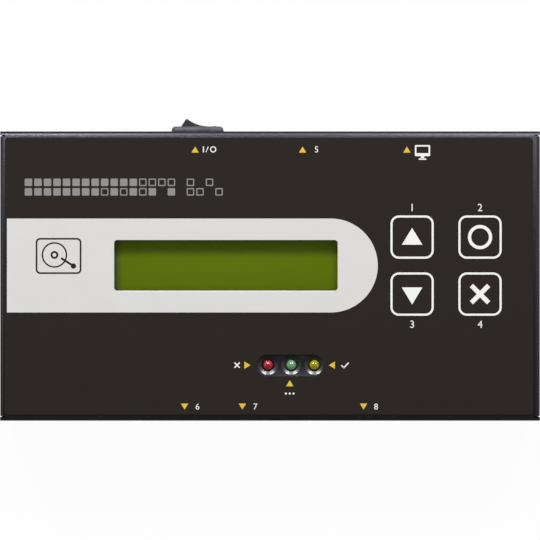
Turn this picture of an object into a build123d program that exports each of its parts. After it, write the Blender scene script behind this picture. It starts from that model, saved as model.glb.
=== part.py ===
from build123d import *
import os

# Hard drive erasing station: a folded sheet box with a printed panel, a display, four keys,
# three lamps, a rocker switch and drive ports. Millimetres. The origin is on the table under
# the middle of the box, +X right as the panel is read, +Y to the rear, +Z up.

# Enclosure
BODY_LENGTH = 155.9
BODY_WIDTH = 83.6
COVER_TOP = 28.0
FOOT_HEIGHT = 2.0
SHEET = 1.0
BEND_RADIUS = 1.5
NEST_GAP = 0.15
CORNER_GAP = 0.4
HALF_X = BODY_LENGTH / 2
HALF_Y = BODY_WIDTH / 2
COVER_UNDER = COVER_TOP - SHEET
FLOOR_TOP = FOOT_HEIGHT + SHEET

# Base plate, its upright flanges and the screws through the cover's ends
FLANGE_HALF = 32.0
FLANGE_TOP = 13.5
SIDE_SCREW_Y = 26.0
SIDE_SCREW_Z = 9.0
SIDE_HEAD_R = 2.75
SIDE_SHANK_R = 1.45
SIDE_SCREW_LENGTH = 5.0
FOOT_SIZE = 10.0
FOOT_TAPER = 0.6
FOOT_SPOTS = [(x, y) for x in (-66.0, 66.0) for y in (-32.0, 32.0)]

# Printed film
FILM = 0.25
FILM_LEFT = -76.5
FILM_RIGHT = 75.9
FILM_HALF_WIDTH = 39.95
FILM_CORNER_R = 1.0

# Keys
KEY_SPOTS = {
    "key_up": (41.0, 11.25),
    "key_enter": (60.6, 11.25),
    "key_down": (41.0, -5.2),
    "key_escape": (60.6, -5.2),
}
KEY_SIZE = 12.64
KEY_CORNER_R = 2.5
KEY_GAP = 0.1
STEM = 3.0
PLUNGER_BOTTOM = 25.3
PLUNGER_CAVITY = 24.8
STEM_PLAY = 0.1
SWITCH_SIZE = 6.0
SWITCH_TOP = 26.5

# Lamps
LED_SPOTS = {"led_red": -0.58, "led_green": 6.15, "led_yellow": 12.8}
LED_Y = -25.67
LED_R = 1.5
LED_HEIGHT = 5.8
LED_DOME = [(0.87, 0.5), (0.5, 0.13)]
CUP_R = 2.95
CUP_BORE_R = 1.55
CUP_BOTTOM = 24.15
CUP_DISH = [(1.75, 0.46), (1.55, 0.8)]
SLOT_CENTRE = (5.73, -25.75)
SLOT_LENGTH = 19.3
SLOT_WIDTH = 6.15

# Panel board
PANEL_TOP = 23.0
BOARD = 1.6
PANEL_LEFT = -13.5
PANEL_RIGHT = 72.5
PANEL_INNER_X = 30.5
PANEL_FRONT = -36.5
PANEL_INNER_Y = -17.5
PANEL_REAR = 20.5
PANEL_SPACERS = [(-9.8, -25.7), (69.8, 17.2), (69.8, -32.5), (33.5, -32.5)]

# Display module
DISPLAY_X = -12.8
DISPLAY_Y = 3.2
WINDOW_LENGTH = 64.5
WINDOW_WIDTH = 14.6
WINDOW_CORNER_R = 0.9
WINDOW_EDGE = 0.3
DISPLAY_BOARD = (80.0, 36.0)
DISPLAY_BOARD_TOP = 20.8
DISPLAY_FRAME = (71.3, 26.5)
DISPLAY_FRAME_TOP = 26.8
DISPLAY_FRAME_SHEET = 0.5
DISPLAY_FRAME_CORNER_R = 0.8
DISPLAY_VIEW = (66.0, 16.6)
GLASS_TOP = DISPLAY_FRAME_TOP - DISPLAY_FRAME_SHEET
GLASS_THICKNESS = 2.2
DISPLAY_HOLES = (75.0, 31.0)
SPACER_R = 2.0
SPACER_BORE_R = 1.05
SMALL_SHANK_R = 0.98
SMALL_HEAD_R = 1.9
SMALL_HEAD = 1.3
SMALL_SCREW_GRIP = 3.0
SMALL_SCREW_TIP_GAP = 0.5
FACES = 8

# Main board
MAIN_HALF_X = 70.0
MAIN_HALF_Y = 38.8
MAIN_BOTTOM = 7.0
MAIN_TOP = MAIN_BOTTOM + BOARD
STANDOFF_SPOTS = [(x, y) for x in (-65.0, 65.0) for y in (-33.0, 33.0)]
STANDOFF_R = 2.75
BOARD_SCREW_R = 1.45
BOARD_HOLE_R = 1.6
BOARD_HEAD_R = 2.9
BOARD_HEAD = 1.8
STANDOFF_FLOOR = 0.4
BOARD_SCREW_LOW = 1.0
THREAD_GAP = 0.03

# Parts soldered to the main board: centre, size and height of each, and the legs of the chips
PROCESSOR = {"centre": (-28.0, -3.0), "body": (12.0, 12.0), "height": 1.4, "legs": 11, "span": 14.4}
DRIVE_CHIP = {"centre": (18.0, -9.0), "body": (14.0, 14.0), "height": 1.4, "legs": 14, "span": 16.4}
SMALL_CHIP = {"body": (5.0, 4.0), "height": 1.6, "legs": 4, "span": 6.2}
MEMORY_SPOT = (-50.0, -3.0)
POWER_SWITCH_SPOTS = [(-20.0, -24.0), (-30.0, -24.0)]
CHIP_LIFT = 0.2
LEG_SHARE = 0.44
CRYSTAL = ((-28.0, 9.0), (7.0, 5.0), 1.4)
CRYSTAL_EDGE = 0.3
CAPACITOR_SPOTS = [(25.0, 31.0), (25.0, 23.0), (-8.0, -17.0)]
CAPACITOR_R = 3.15
CAPACITOR_HEIGHT = 7.7
INDUCTOR = ((38.0, 14.0), (10.0, 10.0), 5.0)
INDUCTOR_CORNER = 1.8
REGULATOR = ((20.0, 12.0), (6.6, 6.1), 2.3)
REGULATOR_TAB = ((20.0, 16.0), (5.3, 2.2), 0.5)
FUSE = ((-3.0, 31.0), (7.3, 5.0), 2.6)
RESISTOR_PACK = ((6.4, 3.2), 0.7)
RESISTOR_SPOTS = [(8.0 + 8.6 * i, -24.5) for i in range(5)]

# Ribbon between the panel board and the main board, and its two headers
HEADER_SPOT = (50.0, -12.0)
HEADER_SIZE = (14.0, 5.0)
HEADER_HEIGHT = 2.5
RIBBON_WIDTH = 12.7
RIBBON_THICK = 0.9
RIBBON_START_Y = -14.5
RIBBON_BULGE_Y = -19.0
RIBBON_BEND = 3.0

# Row of pins that joins the display board to the main board
LINK_PINS = 16
LINK_PITCH = 2.54
LINK_X = -25.75
LINK_Y = 18.7
LINK_BODY = 2.5
LINK_STRIP = 2.5
LINK_WELL = 1.0
LINK_WELL_FLOOR = 1.5
LINK_PIN_LOW = 2.2
PIN = 0.64

# Ports: how far their mouths sit inside the wall's outer face, and the gap around them
MOUTH_INSET = 0.1
PORT_GAP = 0.2
FRONT_MOUTH = -(HALF_Y - MOUTH_INSET)
REAR_MOUTH = HALF_Y - MOUTH_INSET

# 40-pin drive header
IDE_X = 27.4
IDE_LENGTH = 58.2
IDE_HEIGHT = 8.9
IDE_DEPTH = 8.8
IDE_CAVITY = (56.0, 6.5)
IDE_FLOOR = 2.4
IDE_PITCH = 2.54
IDE_COLUMNS = 20
IDE_KEY = 4.5
IDE_TIP_INSET = 1.0
IDE_BEND = 1.2

# Serial drive port
SATA_X = -24.2
SATA_LENGTH = 16.6
SATA_HEIGHT = 6.8
SATA_DEPTH = 11.0
SATA_CAVITY = (14.4, 4.8)
SATA_CAVITY_DEPTH = 7.5
SATA_TONGUE = (10.4, 1.2, 6.3)
SATA_LEG = (1.2, 1.9)
SATA_CONTACTS = 7
SATA_PITCH = 1.27
SATA_CONTACT = (0.6, 0.15, 0.4)

# Drive power outlet
OUTLET_X = -8.0
OUTLET_SIZE = 9.8
OUTLET_DEPTH = 12.8
OUTLET_WALL = 0.8
OUTLET_CAVITY_DEPTH = 9.0
OUTLET_PITCH = 4.2
OUTLET_PIN = 1.1
OUTLET_PIN_LENGTH = 7.6
OUTLET_BEND = 1.4

# Power inlet
JACK_X = 9.8
JACK_WIDTH = 9.0
JACK_HEIGHT = 11.0
JACK_DEPTH = 14.2
JACK_FLANGE = 3.4
JACK_BORE_R = 3.15
JACK_BORE_DEPTH = 9.6
JACK_AXIS = 6.4
JACK_PIN_R = 1.0
JACK_PIN_INSET = 0.9
JACK_STEP = 1.0
JACK_BEVEL = 2.0

# Computer port
USB_X = 39.8
USB_WIDTH = 12.0
USB_HEIGHT = 10.8
USB_DEPTH = 16.2
USB_SHELL = 0.4
USB_BEVEL = 2.0
USB_BEVEL_SHRINK = 0.6
USB_FLOOR = 7.0
USB_TONGUE = (5.6, 3.2)
USB_TONGUE_INSET = 0.9
USB_TONGUE_ROOT = 0.5

# Rocker switch, lying on its side in the rear wall
ROCKER_X = -21.1
ROCKER_Z = 14.0
ROCKER_PIVOT_Y = 40.3
ROCKER_TILT = 14.0
ROCKER_BEZEL = (15.0, 10.5, 1.75)
ROCKER_BEZEL_CORNER_R = 1.3
ROCKER_BEZEL_EDGE_R = 1.1
ROCKER_BODY = (13.2, 8.3)
ROCKER_CUTOUT = (13.5, 8.6)
ROCKER_CAVITY = (12.0, 7.3)
ROCKER_REAR = 30.5
ROCKER_FLOOR = 0.8
PADDLE_WIDTH = 7.1
PADDLE_TIP = (4.5, 4.7)
PADDLE_HOLLOW = 3.7
PADDLE_SIDE = [(5.45, 2.0), (4.9, -1.2), (1.5, -1.8), (0.8, -3.6)]
PADDLE_TIP_R = 0.4
TRUNNION_R = 0.8
TRUNNION_PLAY = 0.05
TRUNNION_LENGTH = 0.45
TERMINAL_OFFSET = 3.6
TERMINAL = (0.8, 3.5)
TERMINAL_END = 24.4
TERMINAL_REACH = 0.4
WIRE_BEND = 1.5
WIRE_R = 0.8
WIRE_DROP_Y = 22.0


def block(x, y, z):
    """Box between two limits on each axis."""
    size = (x[1] - x[0], y[1] - y[0], z[1] - z[0])
    return Pos((x[0] + x[1]) / 2, (y[0] + y[1]) / 2, (z[0] + z[1]) / 2) * Box(*size)


def centred(centre, size, z):
    """Box on a centre in X and Y, between two heights."""
    half_x = size[0] / 2
    half_y = size[1] / 2
    return block((centre[0] - half_x, centre[0] + half_x), (centre[1] - half_y, centre[1] + half_y), z)


def rod(spot, z, radius):
    """Upright cylinder between two heights."""
    return Pos(spot[0], spot[1], (z[0] + z[1]) / 2) * Cylinder(radius, z[1] - z[0])


def prism(spot, z, radius, sides=FACES):
    """Upright prism between two heights, for small shanks, bores and nuts."""
    return plate(spot, RegularPolygon(radius, sides), z)


def plate(centre, outline, z):
    """Flat outline made thick between two heights."""
    return Pos(centre[0], centre[1], z[0]) * extrude(outline, z[1] - z[0])


def save(name, *shapes):
    """Write one node from all the solids of its shapes."""
    solids = [solid for shape in shapes for solid in shape.solids()]
    node = solids[0] if len(solids) == 1 else Compound(solids)
    node.label = name
    export_step(node, os.path.join("parts", name + ".step"))


def folded_channel(length, width, height):
    """Sheet with both long edges folded down, top at zero, length along X."""
    outer = Pos(0, 0, -height / 2) * Box(length, width, height)
    outer = fillet(outer.edges().filter_by(Axis.X).group_by(Axis.Z)[-1], BEND_RADIUS)
    inner = Pos(0, 0, -(height + SHEET) / 2) * Box(length, width - 2 * SHEET, height - SHEET)
    inner = fillet(inner.edges().filter_by(Axis.X).group_by(Axis.Z)[-1], BEND_RADIUS - SHEET)
    return outer - inner


def port_hole(x, wall, length, height):
    """Opening through the front or rear wall around a port that stands on the main board."""
    half = length / 2 + PORT_GAP
    z = (MAIN_TOP - PORT_GAP, MAIN_TOP + height + PORT_GAP)
    return block((x - half, x + half), (wall - 2 * SHEET, wall + 2 * SHEET), z)


def make_cover():
    """Five-sided folded cover: long walls run corner to corner, end walls stop short of them."""
    height = COVER_TOP - FOOT_HEIGHT
    long_way = Pos(0, 0, COVER_TOP) * folded_channel(BODY_LENGTH, BODY_WIDTH, height)
    inside_y = HALF_Y - SHEET
    for side in (-1, 1):
        edge = sorted((side * (HALF_X - BEND_RADIUS), side * (HALF_X + 1)))
        long_way -= block(edge, (-inside_y, inside_y), (0, COVER_TOP + 1))
    end_span = 2 * (inside_y - CORNER_GAP)
    across = Pos(0, 0, COVER_TOP) * Rot(0, 0, 90) * folded_channel(end_span, BODY_LENGTH, height)
    cover = long_way + across

    top = (COVER_UNDER - 1, COVER_TOP + 1)
    window = RectangleRounded(
        WINDOW_LENGTH + 2 * WINDOW_EDGE, WINDOW_WIDTH + 2 * WINDOW_EDGE, WINDOW_CORNER_R + WINDOW_EDGE)
    cover -= plate((DISPLAY_X, DISPLAY_Y), window, top)
    key_hole = KEY_SIZE + 4 * KEY_GAP
    for spot in KEY_SPOTS.values():
        cover -= centred(spot, (key_hole, key_hole), top)
    for x in LED_SPOTS.values():
        cover -= rod((x, LED_Y), top, CUP_R)

    cover -= port_hole(IDE_X, -HALF_Y, IDE_LENGTH, IDE_HEIGHT)
    cover -= port_hole(SATA_X, -HALF_Y, SATA_LENGTH, SATA_HEIGHT)
    cover -= port_hole(OUTLET_X, -HALF_Y, OUTLET_SIZE, OUTLET_SIZE)
    cover -= port_hole(JACK_X, HALF_Y, JACK_WIDTH, JACK_HEIGHT)
    cover -= port_hole(USB_X, HALF_Y, USB_WIDTH, USB_HEIGHT)
    cut_out = Box(ROCKER_CUTOUT[0], 4 * SHEET, ROCKER_CUTOUT[1])
    cover -= Pos(ROCKER_X, HALF_Y, ROCKER_Z) * cut_out

    for side in (-1, 1):
        for y in (-SIDE_SCREW_Y, SIDE_SCREW_Y):
            cover -= side_screw(side, y, NEST_GAP / 2)
    return cover


def side_screw(side, y, extra=0.0):
    """Countersunk screw through an end wall, its head flush with the outer face."""
    head = Cone(SIDE_SHANK_R + extra, SIDE_HEAD_R + extra, SIDE_HEAD_R - SIDE_SHANK_R)
    head = Pos(0, 0, -(SIDE_HEAD_R - SIDE_SHANK_R) / 2) * head
    shank = prism((0, 0), (-SIDE_SCREW_LENGTH, extra - SHEET), SIDE_SHANK_R + extra)
    return Pos(side * HALF_X, y, SIDE_SCREW_Z) * Rot(0, side * 90, 0) * (head + shank)


def make_cover_screws():
    """The four side screws."""
    return [side_screw(side, y) for side in (-1, 1) for y in (-SIDE_SCREW_Y, SIDE_SCREW_Y)]


def make_base():
    """Bottom plate with two upright flanges just inside the cover's end walls."""
    half_x = HALF_X - SHEET - NEST_GAP
    half_y = HALF_Y - SHEET - NEST_GAP
    base = block((-half_x, half_x), (-half_y, half_y), (FOOT_HEIGHT, FLOOR_TOP))
    relief = FLANGE_HALF + CORNER_GAP
    for side in (-1, 1):
        edge = sorted((side * (half_x - BEND_RADIUS), side * (half_x + 1)))
        base -= block(edge, (-relief, relief), (0, FLOOR_TOP + 1))
    channel = folded_channel(2 * FLANGE_HALF, 2 * half_x, FLANGE_TOP - FOOT_HEIGHT)
    base += Pos(0, 0, FOOT_HEIGHT) * Rot(180, 0, 0) * Rot(0, 0, 90) * channel
    for side in (-1, 1):
        for y in (-SIDE_SCREW_Y, SIDE_SCREW_Y):
            base -= side_screw(side, y)
    return base


def make_feet():
    """Four self-adhesive square rubber feet."""
    feet = []
    for spot in FOOT_SPOTS:
        foot = centred(spot, (FOOT_SIZE, FOOT_SIZE), (0, FOOT_HEIGHT))
        feet.append(chamfer(foot.edges().group_by(Axis.Z)[0], FOOT_TAPER))
    return feet


def make_film():
    """Printed film with its display window, lamp slot and the outlines of the keys cut through."""
    length = FILM_RIGHT - FILM_LEFT
    middle = (FILM_RIGHT + FILM_LEFT) / 2
    z = (COVER_TOP, COVER_TOP + FILM)
    through = (COVER_TOP - 1, COVER_TOP + 1)
    film = plate((middle, 0), RectangleRounded(length, 2 * FILM_HALF_WIDTH, FILM_CORNER_R), z)
    window = RectangleRounded(WINDOW_LENGTH, WINDOW_WIDTH, WINDOW_CORNER_R)
    film -= plate((DISPLAY_X, DISPLAY_Y), window, through)
    opening = KEY_SIZE + 2 * KEY_GAP
    for spot in KEY_SPOTS.values():
        film -= plate(spot, RectangleRounded(opening, opening, KEY_CORNER_R + KEY_GAP), through)
    film -= plate(SLOT_CENTRE, SlotOverall(SLOT_LENGTH, SLOT_WIDTH), through)
    return film


def make_key(spot):
    """Key area of the film."""
    outline = RectangleRounded(KEY_SIZE, KEY_SIZE, KEY_CORNER_R)
    return plate(spot, outline, (COVER_TOP, COVER_TOP + FILM))


def make_plunger(spot):
    """Stem of a key switch, up to the underside of the film."""
    return centred(spot, (STEM, STEM), (PLUNGER_BOTTOM, COVER_TOP))


def make_switch_bodies():
    """Bodies of the key switches, each with a well for its stem."""
    bodies = []
    for spot in KEY_SPOTS.values():
        body = centred(spot, (SWITCH_SIZE, SWITCH_SIZE), (PANEL_TOP, SWITCH_TOP))
        well = STEM + 2 * STEM_PLAY
        body -= centred(spot, (well, well), (PLUNGER_CAVITY, COVER_TOP))
        bodies.append(body)
    return bodies


def make_led(x):
    """Round lamp whose end narrows in three steps to a blunt dome."""
    top = PANEL_TOP + LED_HEIGHT
    dome = [(LED_R * out, top - LED_R * down) for out, down in LED_DOME]
    outline = make_face(Polyline(
        (0, PANEL_TOP), (LED_R, PANEL_TOP), (LED_R, top - LED_R), *dome, (0, top), close=True))
    return Pos(x, LED_Y, 0) * revolve(Plane.XZ * outline, Axis.Z)


def make_cups():
    """Bright dished rings in the cover's lamp holes, flush with its top."""
    dish = [(radius, COVER_TOP - down) for radius, down in CUP_DISH]
    outline = make_face(Polyline(
        (CUP_BORE_R, CUP_BOTTOM), (CUP_R, CUP_BOTTOM), (CUP_R, COVER_TOP), *dish, close=True))
    ring = revolve(Plane.XZ * outline, Axis.Z)
    return [Pos(x, LED_Y, 0) * ring for x in LED_SPOTS.values()]


def make_panel_board():
    """L-shaped board under the keys and the lamps."""
    z = (PANEL_TOP - BOARD, PANEL_TOP)
    board = block((PANEL_LEFT, PANEL_RIGHT), (PANEL_FRONT, PANEL_INNER_Y), z)
    board += block((PANEL_INNER_X, PANEL_RIGHT), (PANEL_INNER_Y, PANEL_REAR), z)
    for spot in PANEL_SPACERS:
        board -= prism(spot, (z[0] - 1, z[1] + 1), SPACER_BORE_R)
    return board


def make_spacers(spots, bottom):
    """Tapped six-sided sleeves fixed under the cover."""
    sleeves = []
    for spot in spots:
        sleeve = prism(spot, (bottom, COVER_UNDER), SPACER_R, 6)
        sleeves.append(sleeve - prism(spot, (bottom - 1, bottom + SMALL_SCREW_GRIP), SPACER_BORE_R))
    return sleeves


def make_small_screws(spots, board_top):
    """Hexagon-head screws that hold a board up against its sleeves."""
    screws = []
    under = board_top - BOARD
    for spot in spots:
        head = prism(spot, (under - SMALL_HEAD, under), SMALL_HEAD_R, 6)
        shank = prism(spot, (under, board_top + SMALL_SCREW_GRIP - SMALL_SCREW_TIP_GAP), SMALL_SHANK_R)
        screws.append(head + shank)
    return screws


def display_spots():
    """Fixing holes of the display board."""
    return [(DISPLAY_X + i * DISPLAY_HOLES[0] / 2, DISPLAY_Y + j * DISPLAY_HOLES[1] / 2)
            for i in (-1, 1) for j in (-1, 1)]


def make_display_board():
    """Board of the display module."""
    z = (DISPLAY_BOARD_TOP - BOARD, DISPLAY_BOARD_TOP)
    board = centred((DISPLAY_X, DISPLAY_Y), DISPLAY_BOARD, z)
    for spot in display_spots():
        board -= prism(spot, (z[0] - 1, z[1] + 1), SPACER_BORE_R)
    return board


def make_display_frame():
    """Pressed metal frame that clamps the glass to the display board."""
    centre = (DISPLAY_X, DISPLAY_Y)
    frame = centred(centre, DISPLAY_FRAME, (DISPLAY_BOARD_TOP, DISPLAY_FRAME_TOP))
    frame = fillet(frame.edges().filter_by(Axis.Z), DISPLAY_FRAME_CORNER_R)
    inside = (DISPLAY_FRAME[0] - 2 * DISPLAY_FRAME_SHEET, DISPLAY_FRAME[1] - 2 * DISPLAY_FRAME_SHEET)
    frame -= centred(centre, inside, (DISPLAY_BOARD_TOP - 1, GLASS_TOP))
    frame -= centred(centre, DISPLAY_VIEW, (GLASS_TOP - 1, DISPLAY_FRAME_TOP + 1))
    return frame


def make_display_glass():
    """Glass sandwich of the display."""
    inside = (DISPLAY_FRAME[0] - 2 * DISPLAY_FRAME_SHEET, DISPLAY_FRAME[1] - 2 * DISPLAY_FRAME_SHEET)
    return centred((DISPLAY_X, DISPLAY_Y), inside, (GLASS_TOP - GLASS_THICKNESS, GLASS_TOP))


def make_backlight():
    """Light guide block between the glass and the display board."""
    inside = (DISPLAY_FRAME[0] - 2 * DISPLAY_FRAME_SHEET, DISPLAY_FRAME[1] - 2 * DISPLAY_FRAME_SHEET)
    return centred((DISPLAY_X, DISPLAY_Y), inside, (DISPLAY_BOARD_TOP, GLASS_TOP - GLASS_THICKNESS))


def link_xs():
    """Positions of the pins between display board and main board."""
    first = LINK_X - (LINK_PINS - 1) * LINK_PITCH / 2
    return [first + i * LINK_PITCH for i in range(LINK_PINS)]


def link_levels():
    """Heights of the socket's top and of the display board's underside."""
    under = DISPLAY_BOARD_TOP - BOARD
    return under - LINK_STRIP, under


def make_link_socket():
    """Socket strip on the main board."""
    socket_top = link_levels()[0]
    length = LINK_PINS * LINK_PITCH
    socket = centred((LINK_X, LINK_Y), (length, LINK_BODY), (MAIN_TOP, socket_top))
    for x in link_xs():
        socket -= centred((x, LINK_Y), (LINK_WELL, LINK_WELL), (MAIN_TOP + LINK_WELL_FLOOR, socket_top + 1))
    return socket


def make_link_strip():
    """Header strip under the display board."""
    low, high = link_levels()
    strip = centred((LINK_X, LINK_Y), (LINK_PINS * LINK_PITCH, LINK_BODY), (low, high))
    for x in link_xs():
        strip -= centred((x, LINK_Y), (PIN, PIN), (low - 1, high + 1))
    return strip


def make_link_pins():
    """Pins held in the header strip."""
    high = link_levels()[1]
    return [centred((x, LINK_Y), (PIN, PIN), (MAIN_TOP + LINK_PIN_LOW, high)) for x in link_xs()]


def make_main_board():
    """Main board with its four fixing holes."""
    board = block((-MAIN_HALF_X, MAIN_HALF_X), (-MAIN_HALF_Y, MAIN_HALF_Y), (MAIN_BOTTOM, MAIN_TOP))
    for spot in STANDOFF_SPOTS:
        board -= prism(spot, (MAIN_BOTTOM - 1, MAIN_TOP + 1), BOARD_HOLE_R)
    return board


def make_standoffs():
    """Six-sided standoffs pressed into the base plate."""
    posts = []
    for spot in STANDOFF_SPOTS:
        post = prism(spot, (FLOOR_TOP, MAIN_BOTTOM), STANDOFF_R, 6)
        bore = (FLOOR_TOP + STANDOFF_FLOOR, MAIN_BOTTOM + 1)
        posts.append(post - prism(spot, bore, BOARD_SCREW_R + THREAD_GAP))
    return posts


def make_board_screws():
    """Hexagon-head screws that hold the main board on its standoffs."""
    screws = []
    for spot in STANDOFF_SPOTS:
        head = prism(spot, (MAIN_TOP, MAIN_TOP + BOARD_HEAD), BOARD_HEAD_R, 6)
        screws.append(head + prism(spot, (FLOOR_TOP + BOARD_SCREW_LOW, MAIN_TOP), BOARD_SCREW_R))
    return screws


def make_chip(centre, body, height, legs, span):
    """Flat chip: moulded body with a row of flat legs along two sides."""
    leg_top = MAIN_TOP + height / 2
    chip = centred(centre, body, (MAIN_TOP + CHIP_LIFT, MAIN_TOP + height))
    pitch = body[0] / (legs + 0.5)
    first = centre[0] - (legs - 1) * pitch / 2
    half = pitch * LEG_SHARE / 2
    for i in range(legs):
        x = first + i * pitch
        for side in (-1, 1):
            outer = centre[1] + side * span / 2
            inner = centre[1] + side * body[1] / 2
            chip += block((x - half, x + half), sorted((outer, inner)), (MAIN_TOP, leg_top))
    return chip


def on_board(centre, size, height):
    """Block that stands on the main board."""
    return centred(centre, size, (MAIN_TOP, MAIN_TOP + height))


def make_crystal():
    """Low metal can of the clock crystal."""
    can = on_board(*CRYSTAL)
    return chamfer(can.edges().group_by(Axis.Z)[-1], CRYSTAL_EDGE)


def make_capacitors():
    """Upright electrolytic cans."""
    z = (MAIN_TOP, MAIN_TOP + CAPACITOR_HEIGHT)
    return [rod(spot, z, CAPACITOR_R) for spot in CAPACITOR_SPOTS]


def make_inductor():
    """Shielded square inductor with clipped corners."""
    shield = on_board(*INDUCTOR)
    return chamfer(shield.edges().filter_by(Axis.Z), INDUCTOR_CORNER)


def make_resistor_packs():
    """Resistor packs in the drive header's lines."""
    return [on_board(spot, *RESISTOR_PACK) for spot in RESISTOR_SPOTS]


def header_levels():
    """Where the ribbon leaves its upper and lower header."""
    return PANEL_TOP - BOARD - HEADER_HEIGHT / 2, MAIN_TOP + HEADER_HEIGHT / 2


def make_panel_cable():
    """Flat ribbon looped from the panel board down to the main board."""
    high, low = header_levels()
    out = [(0, RIBBON_START_Y, high), (0, RIBBON_BULGE_Y, high)]
    back = [(0, RIBBON_BULGE_Y, low), (0, RIBBON_START_Y, low)]
    path = FilletPolyline(*out, *back, radius=RIBBON_BEND)
    strip = Plane(origin=path @ 0, x_dir=(1, 0, 0), z_dir=path % 0) * Rectangle(RIBBON_WIDTH, RIBBON_THICK)
    return Pos(HEADER_SPOT[0], 0, 0) * sweep(strip, path=path)


def make_cable_headers():
    """The ribbon's headers, on the panel board and on the main board."""
    under = PANEL_TOP - BOARD
    upper = centred(HEADER_SPOT, HEADER_SIZE, (under - HEADER_HEIGHT, under))
    return [upper, on_board(HEADER_SPOT, HEADER_SIZE, HEADER_HEIGHT)]


def ide_rows():
    """Heights of the drive header's two pin rows."""
    middle = MAIN_TOP + IDE_HEIGHT / 2
    return middle - IDE_PITCH / 2, middle + IDE_PITCH / 2


def ide_pin_spots():
    """Column position and row of each pin; one position is left empty as a key."""
    first = IDE_X - (IDE_COLUMNS - 1) * IDE_PITCH / 2
    empty = (IDE_COLUMNS // 2, 0)
    return [(first + i * IDE_PITCH, row) for i in range(IDE_COLUMNS) for row in (0, 1) if (i, row) != empty]


def make_ide_shroud():
    """Shroud of the drive header, with a key slot in its upper wall."""
    half = IDE_LENGTH / 2
    rear = FRONT_MOUTH + IDE_DEPTH
    middle = MAIN_TOP + IDE_HEIGHT / 2
    shroud = block((IDE_X - half, IDE_X + half), (FRONT_MOUTH, rear), (MAIN_TOP, MAIN_TOP + IDE_HEIGHT))
    cavity_x = (IDE_X - IDE_CAVITY[0] / 2, IDE_X + IDE_CAVITY[0] / 2)
    cavity_z = (middle - IDE_CAVITY[1] / 2, middle + IDE_CAVITY[1] / 2)
    shroud -= block(cavity_x, (FRONT_MOUTH - 1, rear - IDE_FLOOR), cavity_z)
    key_x = (IDE_X - IDE_KEY / 2, IDE_X + IDE_KEY / 2)
    shroud -= block(key_x, (FRONT_MOUTH - 1, rear - IDE_FLOOR), (middle, MAIN_TOP + IDE_HEIGHT + 1))
    rows = ide_rows()
    for x, row in ide_pin_spots():
        z = rows[row]
        shroud -= Pos(x, rear, z) * Box(PIN, 4 * IDE_FLOOR, PIN)
    return shroud


def make_ide_pins():
    """Bent pins of the drive header, down to the main board behind the shroud."""
    pins = []
    rear = FRONT_MOUTH + IDE_DEPTH
    tip = FRONT_MOUTH + IDE_TIP_INSET
    rows = ide_rows()
    for x, row in ide_pin_spots():
        z = rows[row]
        back = rear + IDE_BEND + row * IDE_PITCH
        across = (x - PIN / 2, x + PIN / 2)
        pin = block(across, (tip, back), (z - PIN / 2, z + PIN / 2))
        pin += block(across, (back - PIN, back), (MAIN_TOP, z + PIN / 2))
        pins.append(pin)
    return pins


def make_sata_body():
    """Serial drive port: a box around an L-shaped tongue."""
    half = SATA_LENGTH / 2
    rear = FRONT_MOUTH + SATA_DEPTH
    middle = MAIN_TOP + SATA_HEIGHT / 2
    body = block((SATA_X - half, SATA_X + half), (FRONT_MOUTH, rear), (MAIN_TOP, MAIN_TOP + SATA_HEIGHT))
    floor = FRONT_MOUTH + SATA_CAVITY_DEPTH
    half = SATA_CAVITY[0] / 2
    cavity_z = (middle - SATA_CAVITY[1] / 2, middle + SATA_CAVITY[1] / 2)
    body -= block((SATA_X - half, SATA_X + half), (FRONT_MOUTH - 1, floor), cavity_z)
    length, thick, reach = SATA_TONGUE
    left = SATA_X - length / 2
    tongue_y = (floor - reach, floor)
    body += block((left, left + length), tongue_y, (middle - thick / 2, middle + thick / 2))
    body += block((left, left + SATA_LEG[0]), tongue_y, (middle, middle + SATA_LEG[1]))
    return body


def make_sata_contacts():
    """Flat contacts under the tongue."""
    middle = MAIN_TOP + SATA_HEIGHT / 2
    floor = FRONT_MOUTH + SATA_CAVITY_DEPTH
    top = middle - SATA_TONGUE[1] / 2
    first = SATA_X - (SATA_CONTACTS - 1) * SATA_PITCH / 2
    width, thick, inset = SATA_CONTACT
    y = (floor - SATA_TONGUE[2] + inset, floor)
    strips = []
    for i in range(SATA_CONTACTS):
        x = first + i * SATA_PITCH
        strips.append(block((x - width / 2, x + width / 2), y, (top - thick, top)))
    return strips


def make_outlet_body():
    """Drive power outlet: a square box around four pins."""
    half = OUTLET_SIZE / 2
    rear = FRONT_MOUTH + OUTLET_DEPTH
    z = (MAIN_TOP, MAIN_TOP + OUTLET_SIZE)
    body = block((OUTLET_X - half, OUTLET_X + half), (FRONT_MOUTH, rear), z)
    inner = half - OUTLET_WALL
    middle = MAIN_TOP + half
    floor = FRONT_MOUTH + OUTLET_CAVITY_DEPTH
    inner_x = (OUTLET_X - inner, OUTLET_X + inner)
    body -= block(inner_x, (FRONT_MOUTH - 1, floor), (middle - inner, middle + inner))
    for i in (-1, 1):
        for j in (-1, 1):
            spot = Pos(OUTLET_X + i * OUTLET_PITCH / 2, floor + 1, middle + j * OUTLET_PITCH / 2)
            body -= spot * Box(OUTLET_PIN, 2 * OUTLET_DEPTH, OUTLET_PIN)
    return body


def make_outlet_pins():
    """Four square pins of the power outlet."""
    middle = MAIN_TOP + OUTLET_SIZE / 2
    floor = FRONT_MOUTH + OUTLET_CAVITY_DEPTH
    rear = FRONT_MOUTH + OUTLET_DEPTH
    half = OUTLET_PIN / 2
    pins = []
    for i in (-1, 1):
        for j in (-1, 1):
            x = OUTLET_X + i * OUTLET_PITCH / 2
            z = middle + j * OUTLET_PITCH / 2
            back = rear + OUTLET_BEND + (j + 1) * OUTLET_PITCH / 2
            pin = block((x - half, x + half), (floor - OUTLET_PIN_LENGTH, back), (z - half, z + half))
            pin += block((x - half, x + half), (back - OUTLET_PIN, back), (MAIN_TOP, z + half))
            pins.append(pin)
    return pins


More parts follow.
